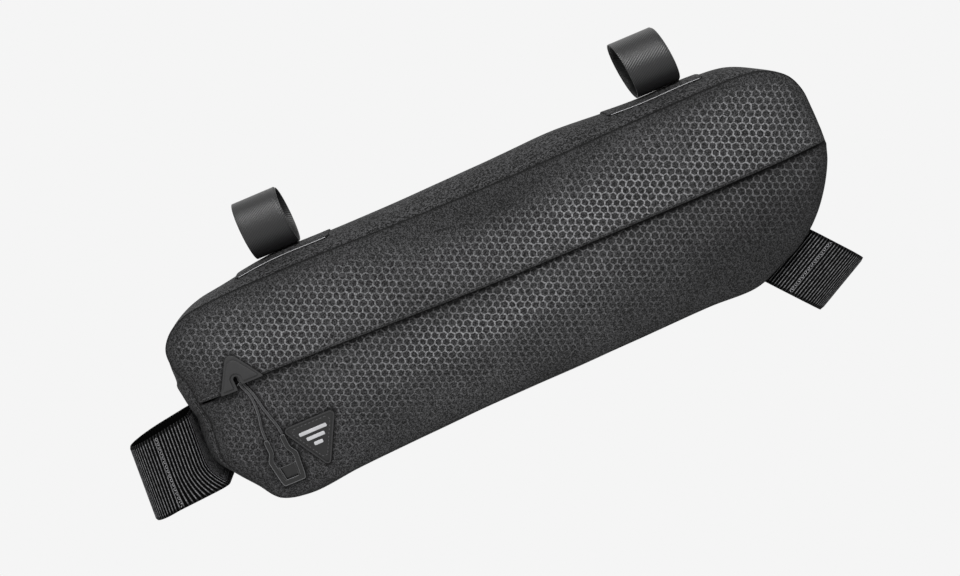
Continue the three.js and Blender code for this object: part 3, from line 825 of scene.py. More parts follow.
def honeycomb_group() -> Tree:
    """Printed lines round a honeycomb of cells in the X and Z plane."""
    board, entry = effect_group("honeycomb", {"Pitch": 4.4 * MM, "Line": 0.2}, ("Line",))
    wobble = board.noise(entry["Vector"], 320.0, 1.0, "Color")
    parts = board.split(board.vector("MULTIPLY_ADD", wobble, (1.2 * MM,) * 3, entry["Vector"]))
    upright = board.math("DIVIDE", parts[2], entry["Pitch"])
    sideways = board.math("DIVIDE", parts[0], board.times(entry["Pitch"], 1.09))
    flat = board.node("CombineXYZ", X=upright, Y=sideways, Z=0.0).outputs[0]
    half = (0.5, math.sqrt(3.0) / 2.0, 0.5)
    below = tuple(-value for value in half)
    first = board.vector("WRAP", flat, half, below)
    second = board.vector("WRAP", board.vector("SUBTRACT", flat, half), half, below)
    lengths = [board.vector("LENGTH", centre, output=1) for centre in (first, second)]
    nearer = board.math("LESS_THAN", *lengths)
    cell = board.node("Mix", {"data_type": "VECTOR"}, in_0=nearer, in_4=second, in_5=first).outputs[1]
    folded = board.vector("ABSOLUTE", cell)
    slanted = board.vector("DOT_PRODUCT", folded, (*half[:2], 0.0), output=1)
    reach = board.math("MAXIMUM", board.split(folded)[0], slanted)
    inner = board.math("SUBTRACT", 0.5, entry["Line"])
    board.node("NodeGroupOutput", Line=board.ramp(reach, inner, 0.5, 0.0, 1.0))
    return board.tree


def grain_group() -> Tree:
    """Fine moulded grain with soft blotches, for rubber and coated metal."""
    board, entry = effect_group("grain", {"Scale": 1600.0}, ("Height", "Blotch"))
    board.node(
        "NodeGroupOutput", Height=board.noise(entry["Vector"], entry["Scale"], 3.0),
        Blotch=board.noise(entry["Vector"], 140.0, 3.0),
    )
    return board.tree


class Finishes:
    """The shared effects, built once."""

    def __init__(self) -> None:
        """Builds the node groups."""
        self.weave = weave_group()
        self.honeycomb = honeycomb_group()
        self.grain = grain_group()


def start_material(name: str) -> tuple[Material, Board]:
    """Makes an empty node material and its board."""
    material = bpy.data.materials.new(name)
    material.use_nodes = True
    return material, Board(material.node_tree)


def finish_material(
    board: Board, colour: object, roughness: object, height: Socket, depth: float, specular: float,
) -> None:
    """Ends a material with a bump and a Principled shader.

    Args:
        board: The material's board.
        colour: Base colour.
        roughness: Roughness.
        height: Height for the bump, in shares of depth.
        depth: Bump distance in metres.
        specular: Specular level.
    """
    bump = board.node("Bump", Height=height, Distance=depth, Strength=1.0).outputs[0]
    shader = board.node(
        "BsdfPrincipled", Base_Color=colour, Roughness=roughness, Normal=bump, Specular_IOR_Level=specular,
    )
    board.node("OutputMaterial", Surface=shader.outputs[0])


def with_edge_highlight(board: Board, colour: Socket, edge: float) -> Socket:
    """Paints a highlight: pales a colour toward an edge tone where a face turns away from the view; 0 leaves
    it as it is.
    """
    if edge <= 0:
        return colour
    facing = board.node("LayerWeight", Blend=0.5).outputs["Facing"]
    return board.mix(board.ramp(facing, 0.22, 0.62, 0.0, 1.0), colour, grey(edge))


@dataclass(frozen=True)
class MelangeCloth:
    """Coated melange cloth, with or without a printed honeycomb whose lines get a painted sheen where light
    falls, and with painted shade where its shade attribute is high.
    """

    name: str
    dark: float
    pale: float
    printed: float = 0.0
    pitch: float = 4.45 * MM
    lean: float = 4.0
    grain: float = 1.0
    roughness: float = 0.82
    # The tone below is near black: the colour of the painted shade.
    painted_shade: float = 0.0006

    def build(self, finishes: Finishes) -> Material:
        """Builds the material from the shared effects."""
        material, board = start_material(self.name)
        place = board.place()
        woven = board.vector("MULTIPLY", place, (1.0 / self.grain,) * 3)
        weave = board.effect(finishes.weave, woven, Pitch=0.9 * MM)
        ground = board.mix(weave["Fleck"], grey(self.dark), grey(self.pale))
        colour = board.scaled(ground, board.ramp(board.noise(place, 22.0, 3.0), 0.3, 0.7, 0.82, 1.12))
        height = board.math("MULTIPLY_ADD", weave["Fleck"], 0.5, board.times(weave["Height"], 0.6))
        roughness = self.roughness
        if self.printed > 0:
            turned = board.turned(place, self.lean, 0.0)
            comb = board.effect(finishes.honeycomb, turned, Pitch=self.pitch, Line=0.125)
            patches = board.ramp(board.noise(place, 30.0, 2.0), 0.3, 0.6, 0.75, 1.0)
            # Painted sheen: the printed lines show most where the painted attribute says light falls on them.
            shown = board.times(board.attribute("print"), patches)
            broken = board.ramp(weave["Fleck"], 0.0, 0.8, 0.35, 1.0)
            line = board.times(comb["Line"], board.times(shown, broken))
            colour = board.mix(line, colour, grey(self.printed))
            height = board.math("ADD", height, board.times(line, 0.5))
            roughness = board.ramp(line, 0.0, 1.0, self.roughness, 0.55)
        # Painted shade: darkens toward near black where the shade attribute is high.
        colour = board.mix(board.attribute("shade"), colour, grey(self.painted_shade))
        finish_material(board, colour, roughness, height, 0.16 * MM, 0.2)
        return material


@dataclass(frozen=True)
class RibbedWebbing:
    """Ribbed webbing read from its UV map in metres, with painted shade that blackens its grooves and painted
    highlights on its ridges.
    """

    name: str
    pitch: float
    width: float
    bead_pitch: float = 1.3 * MM
    border: float = 2.6 * MM
    # These three tones are painted light: the highlight's share on the flat borders, the painted shade in the
    # grooves and the painted highlight on the ridges.
    edge: float = 0.2
    groove: float = 0.0005
    ridge_highlight: float = 0.2

    def build(self, finishes: Finishes) -> Material:
        """Builds the material from the shared effects."""
        material, board = start_material(self.name)
        across, along = board.split(board.place("UV"))[:2]
        swell = board.math("MULTIPLY_ADD", board.wave("COSINE", across, self.pitch), 0.5, 0.5)
        bead = board.math("MULTIPLY_ADD", board.wave("SINE", along, self.bead_pitch), 0.16, 0.84)
        fleck = board.noise(board.place(), 700.0, 3.0)
        # Painted highlight on the ribs' crests, weaker on the flat borders; the grooves keep the painted
        # shade.
        lit = board.times(board.ramp(swell, 0.68, 0.99, 0.0, 1.0), bead)
        lit = board.times(lit, board.ramp(fleck, 0.3, 0.7, 0.35, 1.0))
        away = board.math("ABSOLUTE", board.math("SUBTRACT", along, self.width / 2.0))
        rim = self.width / 2.0 - self.border
        lit = board.times(lit, board.ramp(away, rim, rim + MM, 1.0, self.edge))
        colour = board.mix(lit, grey(self.groove), grey(self.ridge_highlight))
        height = board.math("ADD", board.times(bead, 0.6), board.times(fleck, 0.4))
        finish_material(board, colour, 0.75, height, 0.12 * MM, 0.04)
        return material


@dataclass(frozen=True)
class TwillTape:
    """Fine twill of a hook-and-loop strap, slightly shiny, with slanted lines."""

    name: str
    tone: float = 0.014
    pitch: float = 1.3 * MM
    slant: float = 34.0

    def build(self, finishes: Finishes) -> Material:
        """Builds the material from the shared effects."""
        material, board = start_material(self.name)
        parts = board.split(board.turned(board.place("UV"), 0.0, -self.slant))
        twill = board.math("MULTIPLY_ADD", board.wave("SINE", parts[1], self.pitch), 0.5, 0.5)
        fleck = board.noise(board.place(), 1500.0, 2.0)
        tone = board.math("ADD", board.times(twill, 0.5), board.times(fleck, 0.5))
        colour = board.mix(tone, grey(self.tone * 0.2), grey(self.tone * 1.8))
        finish_material(board, colour, 0.4, tone, 0.22 * MM, 0.4)
        return material


@dataclass(frozen=True)
class MouldedRubber:
    """Matt moulded rubber with a fine grain, and a painted highlight along its edges where edge is above 0.
    """

    name: str
    tone: float
    roughness: float = 0.6
    gloss: float = 0.45
    edge: float = 0.0

    def build(self, finishes: Finishes) -> Material:
        """Builds the material from the shared effects."""
        material, board = start_material(self.name)
        grain = board.effect(finishes.grain, board.place(), Scale=2200.0)
        colour = board.mix(grain["Blotch"], grey(self.tone * 0.85), grey(self.tone * 1.15))
        rough = board.ramp(grain["Blotch"], 0.3, 0.7, self.roughness - 0.05, self.roughness + 0.06)
        # Painted highlight along the edges.
        colour = with_edge_highlight(board, colour, self.edge)
        finish_material(board, colour, rough, grain["Height"], 0.03 * MM, self.gloss)
        return material


@dataclass(frozen=True)
class BraidedCord:
    """Thin braided cord and thread, with slanted plaits, and a painted highlight along its edges where edge
    is above 0.
    """

    name: str
    tone: float
    pitch: float = 1.0 * MM
    edge: float = 0.0

    def build(self, finishes: Finishes) -> Material:
        """Builds the material from the shared effects."""
        material, board = start_material(self.name)
        place = board.place()
        x, _, z = board.split(place)
        rising, falling = (
            board.wave("SINE", board.math(kind, x, z), self.pitch) for kind in ("ADD", "SUBTRACT")
        )
        plait = board.math("MULTIPLY_ADD", board.times(rising, falling), 0.5, 0.5)
        grain = board.effect(finishes.grain, place, Scale=3000.0)
        tone = board.math("MULTIPLY_ADD", plait, 0.7, board.times(grain["Height"], 0.3))
        colour = board.mix(tone, grey(self.tone * 0.6), grey(self.tone * 1.4))
        # Painted highlight along the edges.
        finish_material(board, with_edge_highlight(board, colour, self.edge), 0.6, tone, 0.12 * MM, 0.35)
        return material



@dataclass
class SidePanels:
    """The near panels above and below the zip, and the far panel."""

    form: BagForm
    columns: int = 400
    rows: int = 58
    wall: float = 1.7 * MM
    hem: float = 0.9 * MM
    contacts: tuple[Array, ...] = ()

    def _dense(self, u: Array) -> Array:
        """Draws the columns closer together toward the rear, where the small parts lie."""
        return 0.5 * u + 0.5 * u * u

    def _contact_shadow(self, x: Array, z: Array) -> Array:
        """How strongly the painted contact shadow darkens places close to the small parts that rest on the
        cloth.
        """
        closest = np.full(len(x), 1.0)
        for line in self.contacts:
            for start, end in zip(line[:-1], line[1:]):
                span = end - start
                offset = np.stack([x - start[0], z - start[1]], axis=1)
                share = np.clip((offset @ span) / max(float(span @ span), 1e-12), 0.0, 1.0)
                away = np.hypot(offset[:, 0] - share * span[0], offset[:, 1] - share * span[1])
                closest = np.minimum(closest, away)
        return np.exp(-((closest / (1.9 * MM)) ** 2))

    def _upper_place(self, u: Array, v: Array) -> Array:
        """Places the upper panel between the flap's edge and the top seam."""
        form = self.form
        u = self._dense(u)
        rear, front = form.side_crossings(form.flap_z)
        top = form.top_chain.at(u)
        foot_x = rear + (front - rear) * u
        foot_z = form.flap_foot(foot_x)
        x = foot_x + (top[:, 0] - foot_x) * v
        z = foot_z + (top[:, 1] - foot_z) * v
        rise = np.hypot(top[:, 0] - foot_x, top[:, 1] - foot_z) * v
        roll = np.clip(1.0 - rise / self.hem, 0.0, 1.0)
        inward = self.hem * (1.0 - np.sqrt(1.0 - roll**2))
        return np.stack([x, -(form.upper_face(x, z) - inward), z], axis=1)

    def _lower_place(self, u: Array, v: Array) -> Array:
        """Places the lower panel between its edge behind the flap and the bottom seam."""
        form = self.form
        u = self._dense(u)
        rear, front = form.side_crossings(form.flap_z - CLEARANCE)
        bottom = form.bottom_chain.at(u)
        head_x = rear + (front - rear) * u
        inside = smooth_step(np.minimum(head_x - rear, front - head_x) / form.zip_margin - 0.6)
        head_z = form.flap_z - 1.4 * MM + (form.flap_lap + 1.1 * MM) * inside
        x = head_x + (bottom[:, 0] - head_x) * v
        z = head_z + (bottom[:, 1] - head_z) * v
        return np.stack([x, -form.lower_face(x, z), z], axis=1)

    def _far_place(self, u: Array, v: Array) -> Array:
        """Places the far panel between the bottom and top seams."""
        bottom = self.form.bottom_chain.at(u)
        top = self.form.top_chain.at(u)
        x = bottom[:, 0] + (top[:, 0] - bottom[:, 0]) * v
        z = bottom[:, 1] + (top[:, 1] - bottom[:, 1]) * v
        return np.stack([x, self.form.upper_face(x, z), z], axis=1)

    def _shade(self, x: Array, z: Array, name: str) -> Array:
        """How much painted shade places get: in the seam's groove on every panel, and on the near panels a
        painted shadow under the flap's edge and painted contact shadows round the small parts on them; the
        lower panel is also painted darker toward the front.
        """
        form = self.form
        seam = np.exp(-((form.seam_distance(x, z) / (1.0 * MM)) ** 2))
        rise = z - form.flap_foot(x)
        if name == "upper_panel_cloth":
            # Painted shade along the flap's lower edge.
            painted_shade = np.exp(-np.maximum(rise, 0.0) / (0.25 * MM))
        elif name == "lower_panel_cloth":
            # Painted shadow under the flap's edge, and painted shade that grows toward the lower panel's
            # front.
            painted_shade = 0.92 * np.exp(-(np.minimum(rise, 0.0) / (1.5 * MM)) ** 2) + 0.3 * np.exp(rise / (5.0 * MM))
            painted_shade = painted_shade + 0.34 * smooth_step((x - form.rear - 0.55 * form.length) / (0.3 * form.length))
        else:
            return seam
        return np.clip(np.maximum(np.maximum(seam, painted_shade), 0.88 * self._contact_shadow(x, z)), 0.0, 1.0)

    def _panel(
        self, name: str, place: Place, rows: int, side: Side, cut: Callable[[Vector], bool] | None = None,
    ) -> Object:
        """Builds one panel as a walled sheet.

        Args:
            name: The panel's name.
            place: Lays the grid on the panel's face.
            rows: Rows of faces.
            side: The bag's side that it is on.
            cut: Tells the faces that an opening takes away.

        Returns:
            The panel.
        """
        builder = mapped_grid(self.columns, eased_shares(rows), place, (self.form.length, self.form.depth))
        face_outward(builder, lambda middle: Vector((0.0, float(side.value), 0.0)))
        # Paints how strongly the printed lines show, which is painted sheen, and the painted shade.
        paint(builder, "print", lambda spots: self.form.print_strength(spots[:, 0], spots[:, 2], side))
        paint(builder, "shade", lambda spots: self._shade(spots[:, 0], spots[:, 2], name))
        if cut is not None:
            opened = [face for face in builder.faces if cut(face.calc_center_median())]
            bmesh.ops.delete(builder, geom=opened, context="FACES")
        sweep(builder, (0.0, -side.value * self.wall, 0.0), True)
        return new_object(name, builder)

    def build(self, cloth: Material) -> None:
        """Builds and dresses the three panels."""
        notch = self.form.rear + self.form.notch_along
        reach = self.form.notch_width / 2.0 + 0.6 * MM
        peak = self.form.flap_z + self.form.notch_height + 0.5 * MM
        upper = self._panel(
            "upper_panel_cloth", self._upper_place, self.rows, Side.NEAR,
            cut=lambda spot: abs(spot.x - notch) < reach and spot.z < peak,
        )
        dress(upper, cloth, Slot.PANEL, "near_upper_panel")
        lower = self._panel("lower_panel_cloth", self._lower_place, self.rows, Side.NEAR)
        dress(lower, cloth, Slot.PANEL, "near_lower_panel")
        far = self._panel("far_panel_cloth", self._far_place, self.rows + 10, Side.FAR)
        dress(far, cloth, Slot.PANEL, "far_panel")

    def flap_stitches(self, thread: Material) -> None:
        """Sews the row of stitches just above the flap's edge."""
        form = self.form
        rear, front = form.side_crossings(form.flap_z)
        x = np.linspace(rear + 4 * MM, front - 4 * MM, 300)
        z = form.flap_foot(x) + 1.9 * MM
        path = np.stack([x, -(form.upper_face(x, z) + 0.02 * MM), z], axis=1)
        normals = np.tile([0.0, -1.0, 0.0], (len(x), 1))
        builder = bmesh.new()
        sew(builder, path, normals, 2.3 * MM, 3.0 * MM, 0.2 * MM)
        add_piece("flap_stitches", builder, thread, Slot.CORD)


@dataclass
class GussetBand:
    """The crowned band of cloth between the side panels, with its seam cords and top stitching."""

    form: BagForm
    columns: int = 560
    rows: int = 44
    wall: float = 1.7 * MM
    cord_radius: float = 0.7 * MM

    def _place(self, u: Array, v: Array) -> Array:
        """Places the band round the seam loop."""
        spot, outward, rise = self.form.crown_line(u % 1.0)
        y = (2.0 * v - 1.0) * self.form.gusset_half
        settle = 1.0 - np.abs(2.0 * v - 1.0) ** 4
        uneven = self.form.folds(spot[:, 0] + y, spot[:, 1] - 0.6 * y, GUSSET_SEED) * settle
        return stand_off(spot, outward, self.form.gusset_lift(rise, y) + uneven, y)

    def _seam_cord(self, side: Side) -> BMesh:
        """A thin turned edge that fills the groove between band and panel, in near-black cloth that paints
        the groove's shade.
        """

        def place(u: Array, v: Array) -> Array:
            """Places a thin tube along the seam."""
            spot, outward, _ = self.form.crown_line(u % 1.0)
            angle = v * FULL_TURN
            out = -self.form.seam_dip * 1.25 + self.cord_radius * np.cos(angle)
            y = side.value * (self.form.half_width - 1.5 * MM + self.cord_radius * np.sin(angle))
            return stand_off(spot, outward, out, y)

        builder = mapped_grid(420, np.linspace(0.0, 1.0, 9), place, (1.0, 0.005))
        weld(builder)
        orient(builder)
        return builder

    def _top_stitches(self, builder: BMesh, side: Side) -> None:
        """Sews one row along the band beside a seam."""
        share = np.linspace(0.0, 1.0, 700)
        spot, outward, rise = self.form.crown_line(share % 1.0)
        y = np.full(len(share), side.value * (self.form.gusset_half - 3.0 * MM))
        path = stand_off(spot, outward, self.form.gusset_lift(rise, y), y)
        normals = np.stack([outward[:, 0], np.full(len(share), side.value * 0.5), outward[:, 1]], axis=1)
        sew(builder, path, normals, 2.2 * MM, 3.0 * MM, 0.2 * MM)

    def build(self, cloth: Material, dark: Material, thread: Material) -> None:
        """Builds and dresses the band, its seam cords and its stitches."""
        size = (self.form.loop.length, 2.0 * self.form.gusset_half)
        builder = mapped_grid(self.columns, eased_shares(self.rows), self._place, size)
        weld(builder)
        middle = Vector((0.0, 0.0, self.form.top - self.form.depth / 2.0))
        face_outward(builder, lambda spot: spot - middle)
        # Painted shade in the seam's groove along both edges of the band.
        paint(builder, "shade", lambda spots: np.exp(
            -(((self.form.gusset_half - np.abs(spots[:, 1])) / (0.8 * MM)) ** 2)))
        band = new_object("gusset_cloth", builder)
        add_wall(band, self.wall)
        dress(band, cloth, Slot.PLAIN, "gusset")
        stitches = bmesh.new()
        for side in Side:
            # The seam cords take the near-black cloth, painted shade for the groove.
            add_piece(f"seam_edge_{side.name.lower()}", self._seam_cord(side), dark, Slot.PLAIN)
            self._top_stitches(stitches, side)
        add_piece("gusset_stitches", stitches, thread, Slot.CORD)


@dataclass
class ZipClosure:
    """The zip behind the flap: tape, teeth and slider, with the rubber garage over its rear end."""

    form: BagForm
    tooth_pitch: float = 1.5 * MM
    garage_along: float = 36.5 * MM
    garage_width: float = 30.0 * MM
    garage_height: float = 21.0 * MM
    garage_corner: float = 2.6 * MM
    garage_thickness: float = 1.4 * MM

    def _tape(self) -> BMesh:
        """The tape's sheet behind the flap."""
        low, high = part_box("zip_tape")

        def place(u: Array, v: Array) -> Array:
            """Places the sheet, which rises toward the flap at its head."""
            x = low[0] + (high[0] - low[0]) * u
            z = low[2] + (high[2] - low[2]) * v
            rise = smooth_step((v - 0.5) * 2.0)
            depth = self.form.zip_depth * (1.0 - rise) + (PANEL_WALL + 2 * CLEARANCE) * rise
            face = self.form.upper_face(x, z)
            return np.stack([x, -(face - depth - 0.1 * MM), z], axis=1)

        return mapped_grid(190, np.linspace(0.0, 1.0, 13), place, (high[0] - low[0], high[2] - low[2]))

    def _teeth(self) -> BMesh:
        """The coil's teeth, a row along the tape's foot."""
        low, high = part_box("zip_tape")
        slider_low, slider_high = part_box("zip_slider")
        x = np.arange(low[0] + 2 * MM, high[0] - 2 * MM, self.tooth_pitch)
        x = x[(x < slider_low[0] - MM) | (x > slider_high[0] + MM)]
        z = np.full(len(x), low[2] + 2.4 * MM)
        depth = self.form.upper_face(x, z) - self.form.zip_depth + 0.3 * MM
        size = Matrix.Diagonal((0.5 * MM, 0.5 * MM, 2.1 * MM, 1.0))
        builder = bmesh.new()
        add_grains(builder, [Matrix.Translation((a, -b, c)) @ size for a, b, c in zip(x, depth, z)])
        return builder

    def _slider(self) -> BMesh:
        """The slider's body."""
        low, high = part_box("zip_slider")
        corners = rectangle(low[0], high[0], low[2], high[2])
        lift = CLEARANCE - self.form.zip_depth
        return draped_slab(corners, (1.4 * MM, 4), (1.9 * MM, 0.4 * MM), self.form.upper_face, lift, 2.0 * MM)

    def _garage_outline(self, inset: float) -> BMesh:
        """A rounded triangle with the cord's notch cut in its foot."""
        form = self.form
        x = form.rear + self.garage_along
        notch = form.rear + form.notch_along
        radius = form.notch_width / 2.0 + inset
        foot = form.flap_z - 0.35 * MM + inset
        raised = foot + form.flap_rise
        half = self.garage_width / 2.0 - inset * 1.3
        peak = form.flap_z + self.garage_height + self.garage_corner * 1.75 - inset * 1.6
        height = form.notch_height - form.notch_width / 2.0
        arch = arc((notch, form.flap_z + height), radius, math.pi, 0.0, 13)
        left = [(x - half, foot), (notch - radius, foot)]
        right = [(notch + radius, raised), (x + half, raised)]
        builder, vertices = flat_face([*left, *arch, *right, (x, peak)])
        for corner, reach in ((vertices[0], 0.5), (vertices[-2], 0.5), (vertices[-1], 3.1)):
            round_corners(builder, [corner], self.garage_corner * reach, 6)
        return builder

    def footprint(self) -> Array:
        """The garage's slanted sides in X and Z, where it meets the cloth."""
        x = self.form.rear + self.garage_along
        foot = self.form.flap_z
        peak = foot + self.garage_height
        half = self.garage_width / 2.0
        return np.array([
            (x - half + 0.8 * MM, foot), (x - 3.4 * MM, peak - 2.2 * MM), (x, peak + 0.3 * MM),
            (x + 3.4 * MM, peak - 2.2 * MM), (x + half - 0.8 * MM, foot + self.form.flap_rise),
        ])

    def _garage(self) -> BMesh:
        """The garage: a thin border with a thicker smooth middle."""
        border, middle = self._garage_outline(0.0), self._garage_outline(1.9 * MM)
        raise_slab(border, self.garage_thickness * 0.62, 0.25 * MM, 2.5 * MM)
        drape(border, self.form.upper_face, 0.05 * MM)
        raise_slab(middle, self.garage_thickness * 0.95, 0.5 * MM, 2.5 * MM)
        drape(middle, self.form.upper_face, self.garage_thickness * 0.45)
        merge(border, middle)
        return border

    def build(self, tape: Material, metal: Material, rubber: Material) -> None:
        """Builds and dresses the zip's pieces."""
        sheet = self._tape()
        face_outward(sheet, lambda spot: NEAR_OUT)
        tape_piece = new_object("zip_tape_cloth", sheet)
        add_wall(tape_piece, 1.2 * MM)
        dress(tape_piece, tape, Slot.ZIP, "zip_tape")
        add_piece("zip_teeth", self._teeth(), tape, Slot.ZIP)
        add_piece("zip_slider_body", self._slider(), metal, Slot.METAL, "zip_slider")
        add_piece("zip_garage_rubber", self._garage(), rubber, Slot.RUBBER, "zip_garage")


@dataclass
class PullCord:
    """The two runs of cord and the moulded grip that they end in."""

    form: BagForm
    diameter: float = 1.5 * MM
    grip_width: float = 19.4 * MM
    grip_length: float = 32.0 * MM
    grip_thickness: float = 2.8 * MM
    grip_rows: tuple[tuple[float, float, float], ...] = (
        (0.000, 0.70, 0.40), (0.270, 0.70, 0.41), (0.430, 1.00, 0.69), (0.890, 0.82, 0.52),
    )
    grip_foot: tuple[float, float] = (1.0, 0.72)

    def _spot(self, share: float, down: float) -> tuple[float, float]:
        """A place on the grip in X and Z, by its share of half the width and of the length."""
        low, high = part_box("pull_grip")
        return (low[0] + high[0] + share * self.grip_width) / 2.0, high[2] - down * self.grip_length

    def _edge(self, column: int, side: int) -> Outline:
        """One side of the grip from its head down: column 1 is its outer line, column 2 its inner one."""
        return [self._spot(side * row[column], row[0]) for row in self.grip_rows]

    def _loop(self) -> Outline:
        """The grip's outer line: down its front side, over its foot and up its rear side."""
        foot, half = self.grip_foot
        return [
            *self._edge(1, 1), self._spot(half, foot), self._spot(-half, foot), *reversed(self._edge(1, -1)),
        ]

    def footprint(self) -> tuple[Array, ...]:
        """Lines in X and Z along which the cords and the grip lie on the cloth."""
        runs = [np.array(route)[:, [0, 2]] * MM for route in (REAR_CORD, FRONT_CORD)]
        return (*runs, np.array(self._loop()))

    def _slab(self, corners: Outline, rounding: tuple[float, int], height: float, bevel: float) -> BMesh:
        """A slab on the panel, whose height is a share of the grip's thickness."""
        size = (self.grip_thickness * height, bevel)
        return draped_slab(corners, rounding, size, self.form.lower_face, CLEARANCE)

    def _grip(self) -> BMesh:
        """The grip's loop with a tray and two walls in its eye."""
        corners = [*self._loop(), *self._edge(2, -1), *reversed(self._edge(2, 1))]
        builder = self._slab(corners, (1.0 * MM, 4), 1.0, 0.8 * MM)
        tray = [self._spot(*place) for place in ((0.6, 0.62), (0.6, 0.9), (-0.6, 0.9), (-0.6, 0.62))]
        merge(builder, self._slab(tray, (0.6 * MM, 3), 0.35, 0.2 * MM))
        for side in (-1, 1):
            places = ((0.62, 0.6), (0.5, 0.9), (0.4, 0.9), (0.52, 0.6))
            wall = [self._spot(side * share, down) for share, down in places]
            merge(builder, self._slab(wall, (0.25 * MM, 3), 0.9, 0.15 * MM))
        return builder

    def _run(self, name: str, route: tuple) -> tuple[Object, float]:
        """One run of cord as a curve along its route.

        Args:
            name: The run's name.
            route: Its points in millimetres.

        Returns:
            The curve object and its length.
        """
        data = bpy.data.curves.new(name, "CURVE")
        data.dimensions = "3D"
        data.bevel_depth = self.diameter / 2.0
        data.bevel_resolution = 5
        data.use_fill_caps = True
        spline = data.splines.new("POLY")
        rows = np.array(route) * MM
        points = round_chain(rows[:, [0, 2, 1]], 4)[:, [0, 2, 1]]
        spline.points.add(len(points) - 1)
        for point, spot in zip(spline.points, points):
            point.co = (*spot, 1.0)
        piece = link(bpy.data.objects.new(name, data))
        return piece, float(np.linalg.norm(np.diff(points, axis=0), axis=1).sum())

    def build(self, rubber: Material, braid: Material) -> None:
        grip = add_piece("grip_rubber", self._grip(), rubber, Slot.RUBBER, "pull_grip")
        for name, node, route in (
            ("cord_run_rear", "pull_cord_rear", REAR_CORD), ("cord_run_front", "pull_cord_front", FRONT_CORD),
        ):
            run, length = self._run(name, route)
            dress(run, braid, Slot.CORD, node)


@dataclass
class BadgePatch:
    """The rounded triangle badge with its rim, its sewn groove and a plain motif of three bars."""

    form: BagForm
    width: float = 32.4 * MM
    height: float = 31.0 * MM
    corner: float = 3.0 * MM
    thickness: float = 1.3 * MM
    rim: float = 1.0 * MM
    rim_height: float = 0.6 * MM
    bar_shares: tuple[float, ...] = (1.0, 0.66, 0.32)
    bar_height: float = 2.4 * MM
    bar_step: float = 4.4 * MM

    @property
    def rounding(self) -> tuple[float, int]:
        """How far the corners' roundings reach, and the faces of each."""
        return self.corner * 1.6, 8

    def _corners(self, inset: float) -> Outline:
        """Sharp corners of the outline, set in by a distance."""
        low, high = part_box("badge")
        x = (low[0] + high[0]) / 2.0
        slant = self.height / (self.width / 2.0)
        reach = (inset * math.hypot(1.0, slant) + inset) / slant
        half = self.width / 2.0 + 0.56 * self.corner - reach
        top = high[2] - inset
        return [(x + half, top), (x - half, top), (x, top - half * slant)]

    def footprint(self) -> Array:
        """The badge's outline in X and Z, where it meets the cloth."""
        corners = self._corners(0.8 * MM)
        return np.array([*corners, corners[0]])

    def _rim(self) -> BMesh:
        """The raised rim round the badge."""
        builder = flat_outline(self._corners(0.0), *self.rounding)
        bmesh.ops.inset_individual(builder, faces=builder.faces[:], thickness=self.rim, depth=0.0)
        inner = max(builder.faces, key=lambda face: face.calc_area())
        bmesh.ops.delete(builder, geom=[inner], context="FACES")
        raise_slab(builder, self.rim_height, 0.3 * MM)
        drape(builder, self.form.lower_face, self.thickness)
        return builder

    def _stitches(self) -> BMesh:
        """Stitches round the badge inside its rim."""
        corners = self._corners(2.5 * MM)
        ring = np.array(corners + corners[:1])
        points = np.vstack([
            np.linspace(a * 0.9 + b * 0.1, a * 0.1 + b * 0.9, 12) for a, b in zip(ring, ring[1:])
        ])
        points = np.vstack([points, points[:1]])
        depth = self.form.lower_face(points[:, 0], points[:, 1]) + self.thickness + 0.05 * MM
        path = np.stack([points[:, 0], -depth, points[:, 1]], axis=1)
        builder = bmesh.new()
        sew(builder, path, np.tile([0.0, -1.0, 0.0], (len(path), 1)), 1.7 * MM, 2.5 * MM, 0.24 * MM)
        return builder

    def build(
        self, rubber: Material, field: Material, pale: Material,
        thread: Material,
    ) -> None:
        """Builds and dresses the badge."""
        face = self.form.lower_face
        # The base's darker rubber is partly the badge's own colour and partly painted shade in the groove
        # inside the rim.
        base = draped_slab(self._corners(0.0), self.rounding, (self.thickness, 0.35 * MM), face, 0.05 * MM)
        add_piece("badge_base", base, field, Slot.RUBBER, "badge")
        add_piece("badge_rim", self._rim(), rubber, Slot.RUBBER)
        add_piece("badge_stitches", self._stitches(), thread, Slot.CORD)
        low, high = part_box("badge_motif")
        middle = (low[0] + high[0]) / 2.0
        builder = bmesh.new()
        for index, share in enumerate(self.bar_shares):
            half = share * (high[0] - low[0]) / 2.0
            top = high[2] - index * self.bar_step
            bar = rectangle(middle - half, middle + half, top - self.bar_height, top)
            lift = self.thickness - 0.05 * MM
            merge(builder, draped_slab(bar, (0.7 * MM, 4), (0.55 * MM, 0.18 * MM), face, lift))
        add_piece("badge_bars", builder, pale, Slot.PALE, "badge_motif")


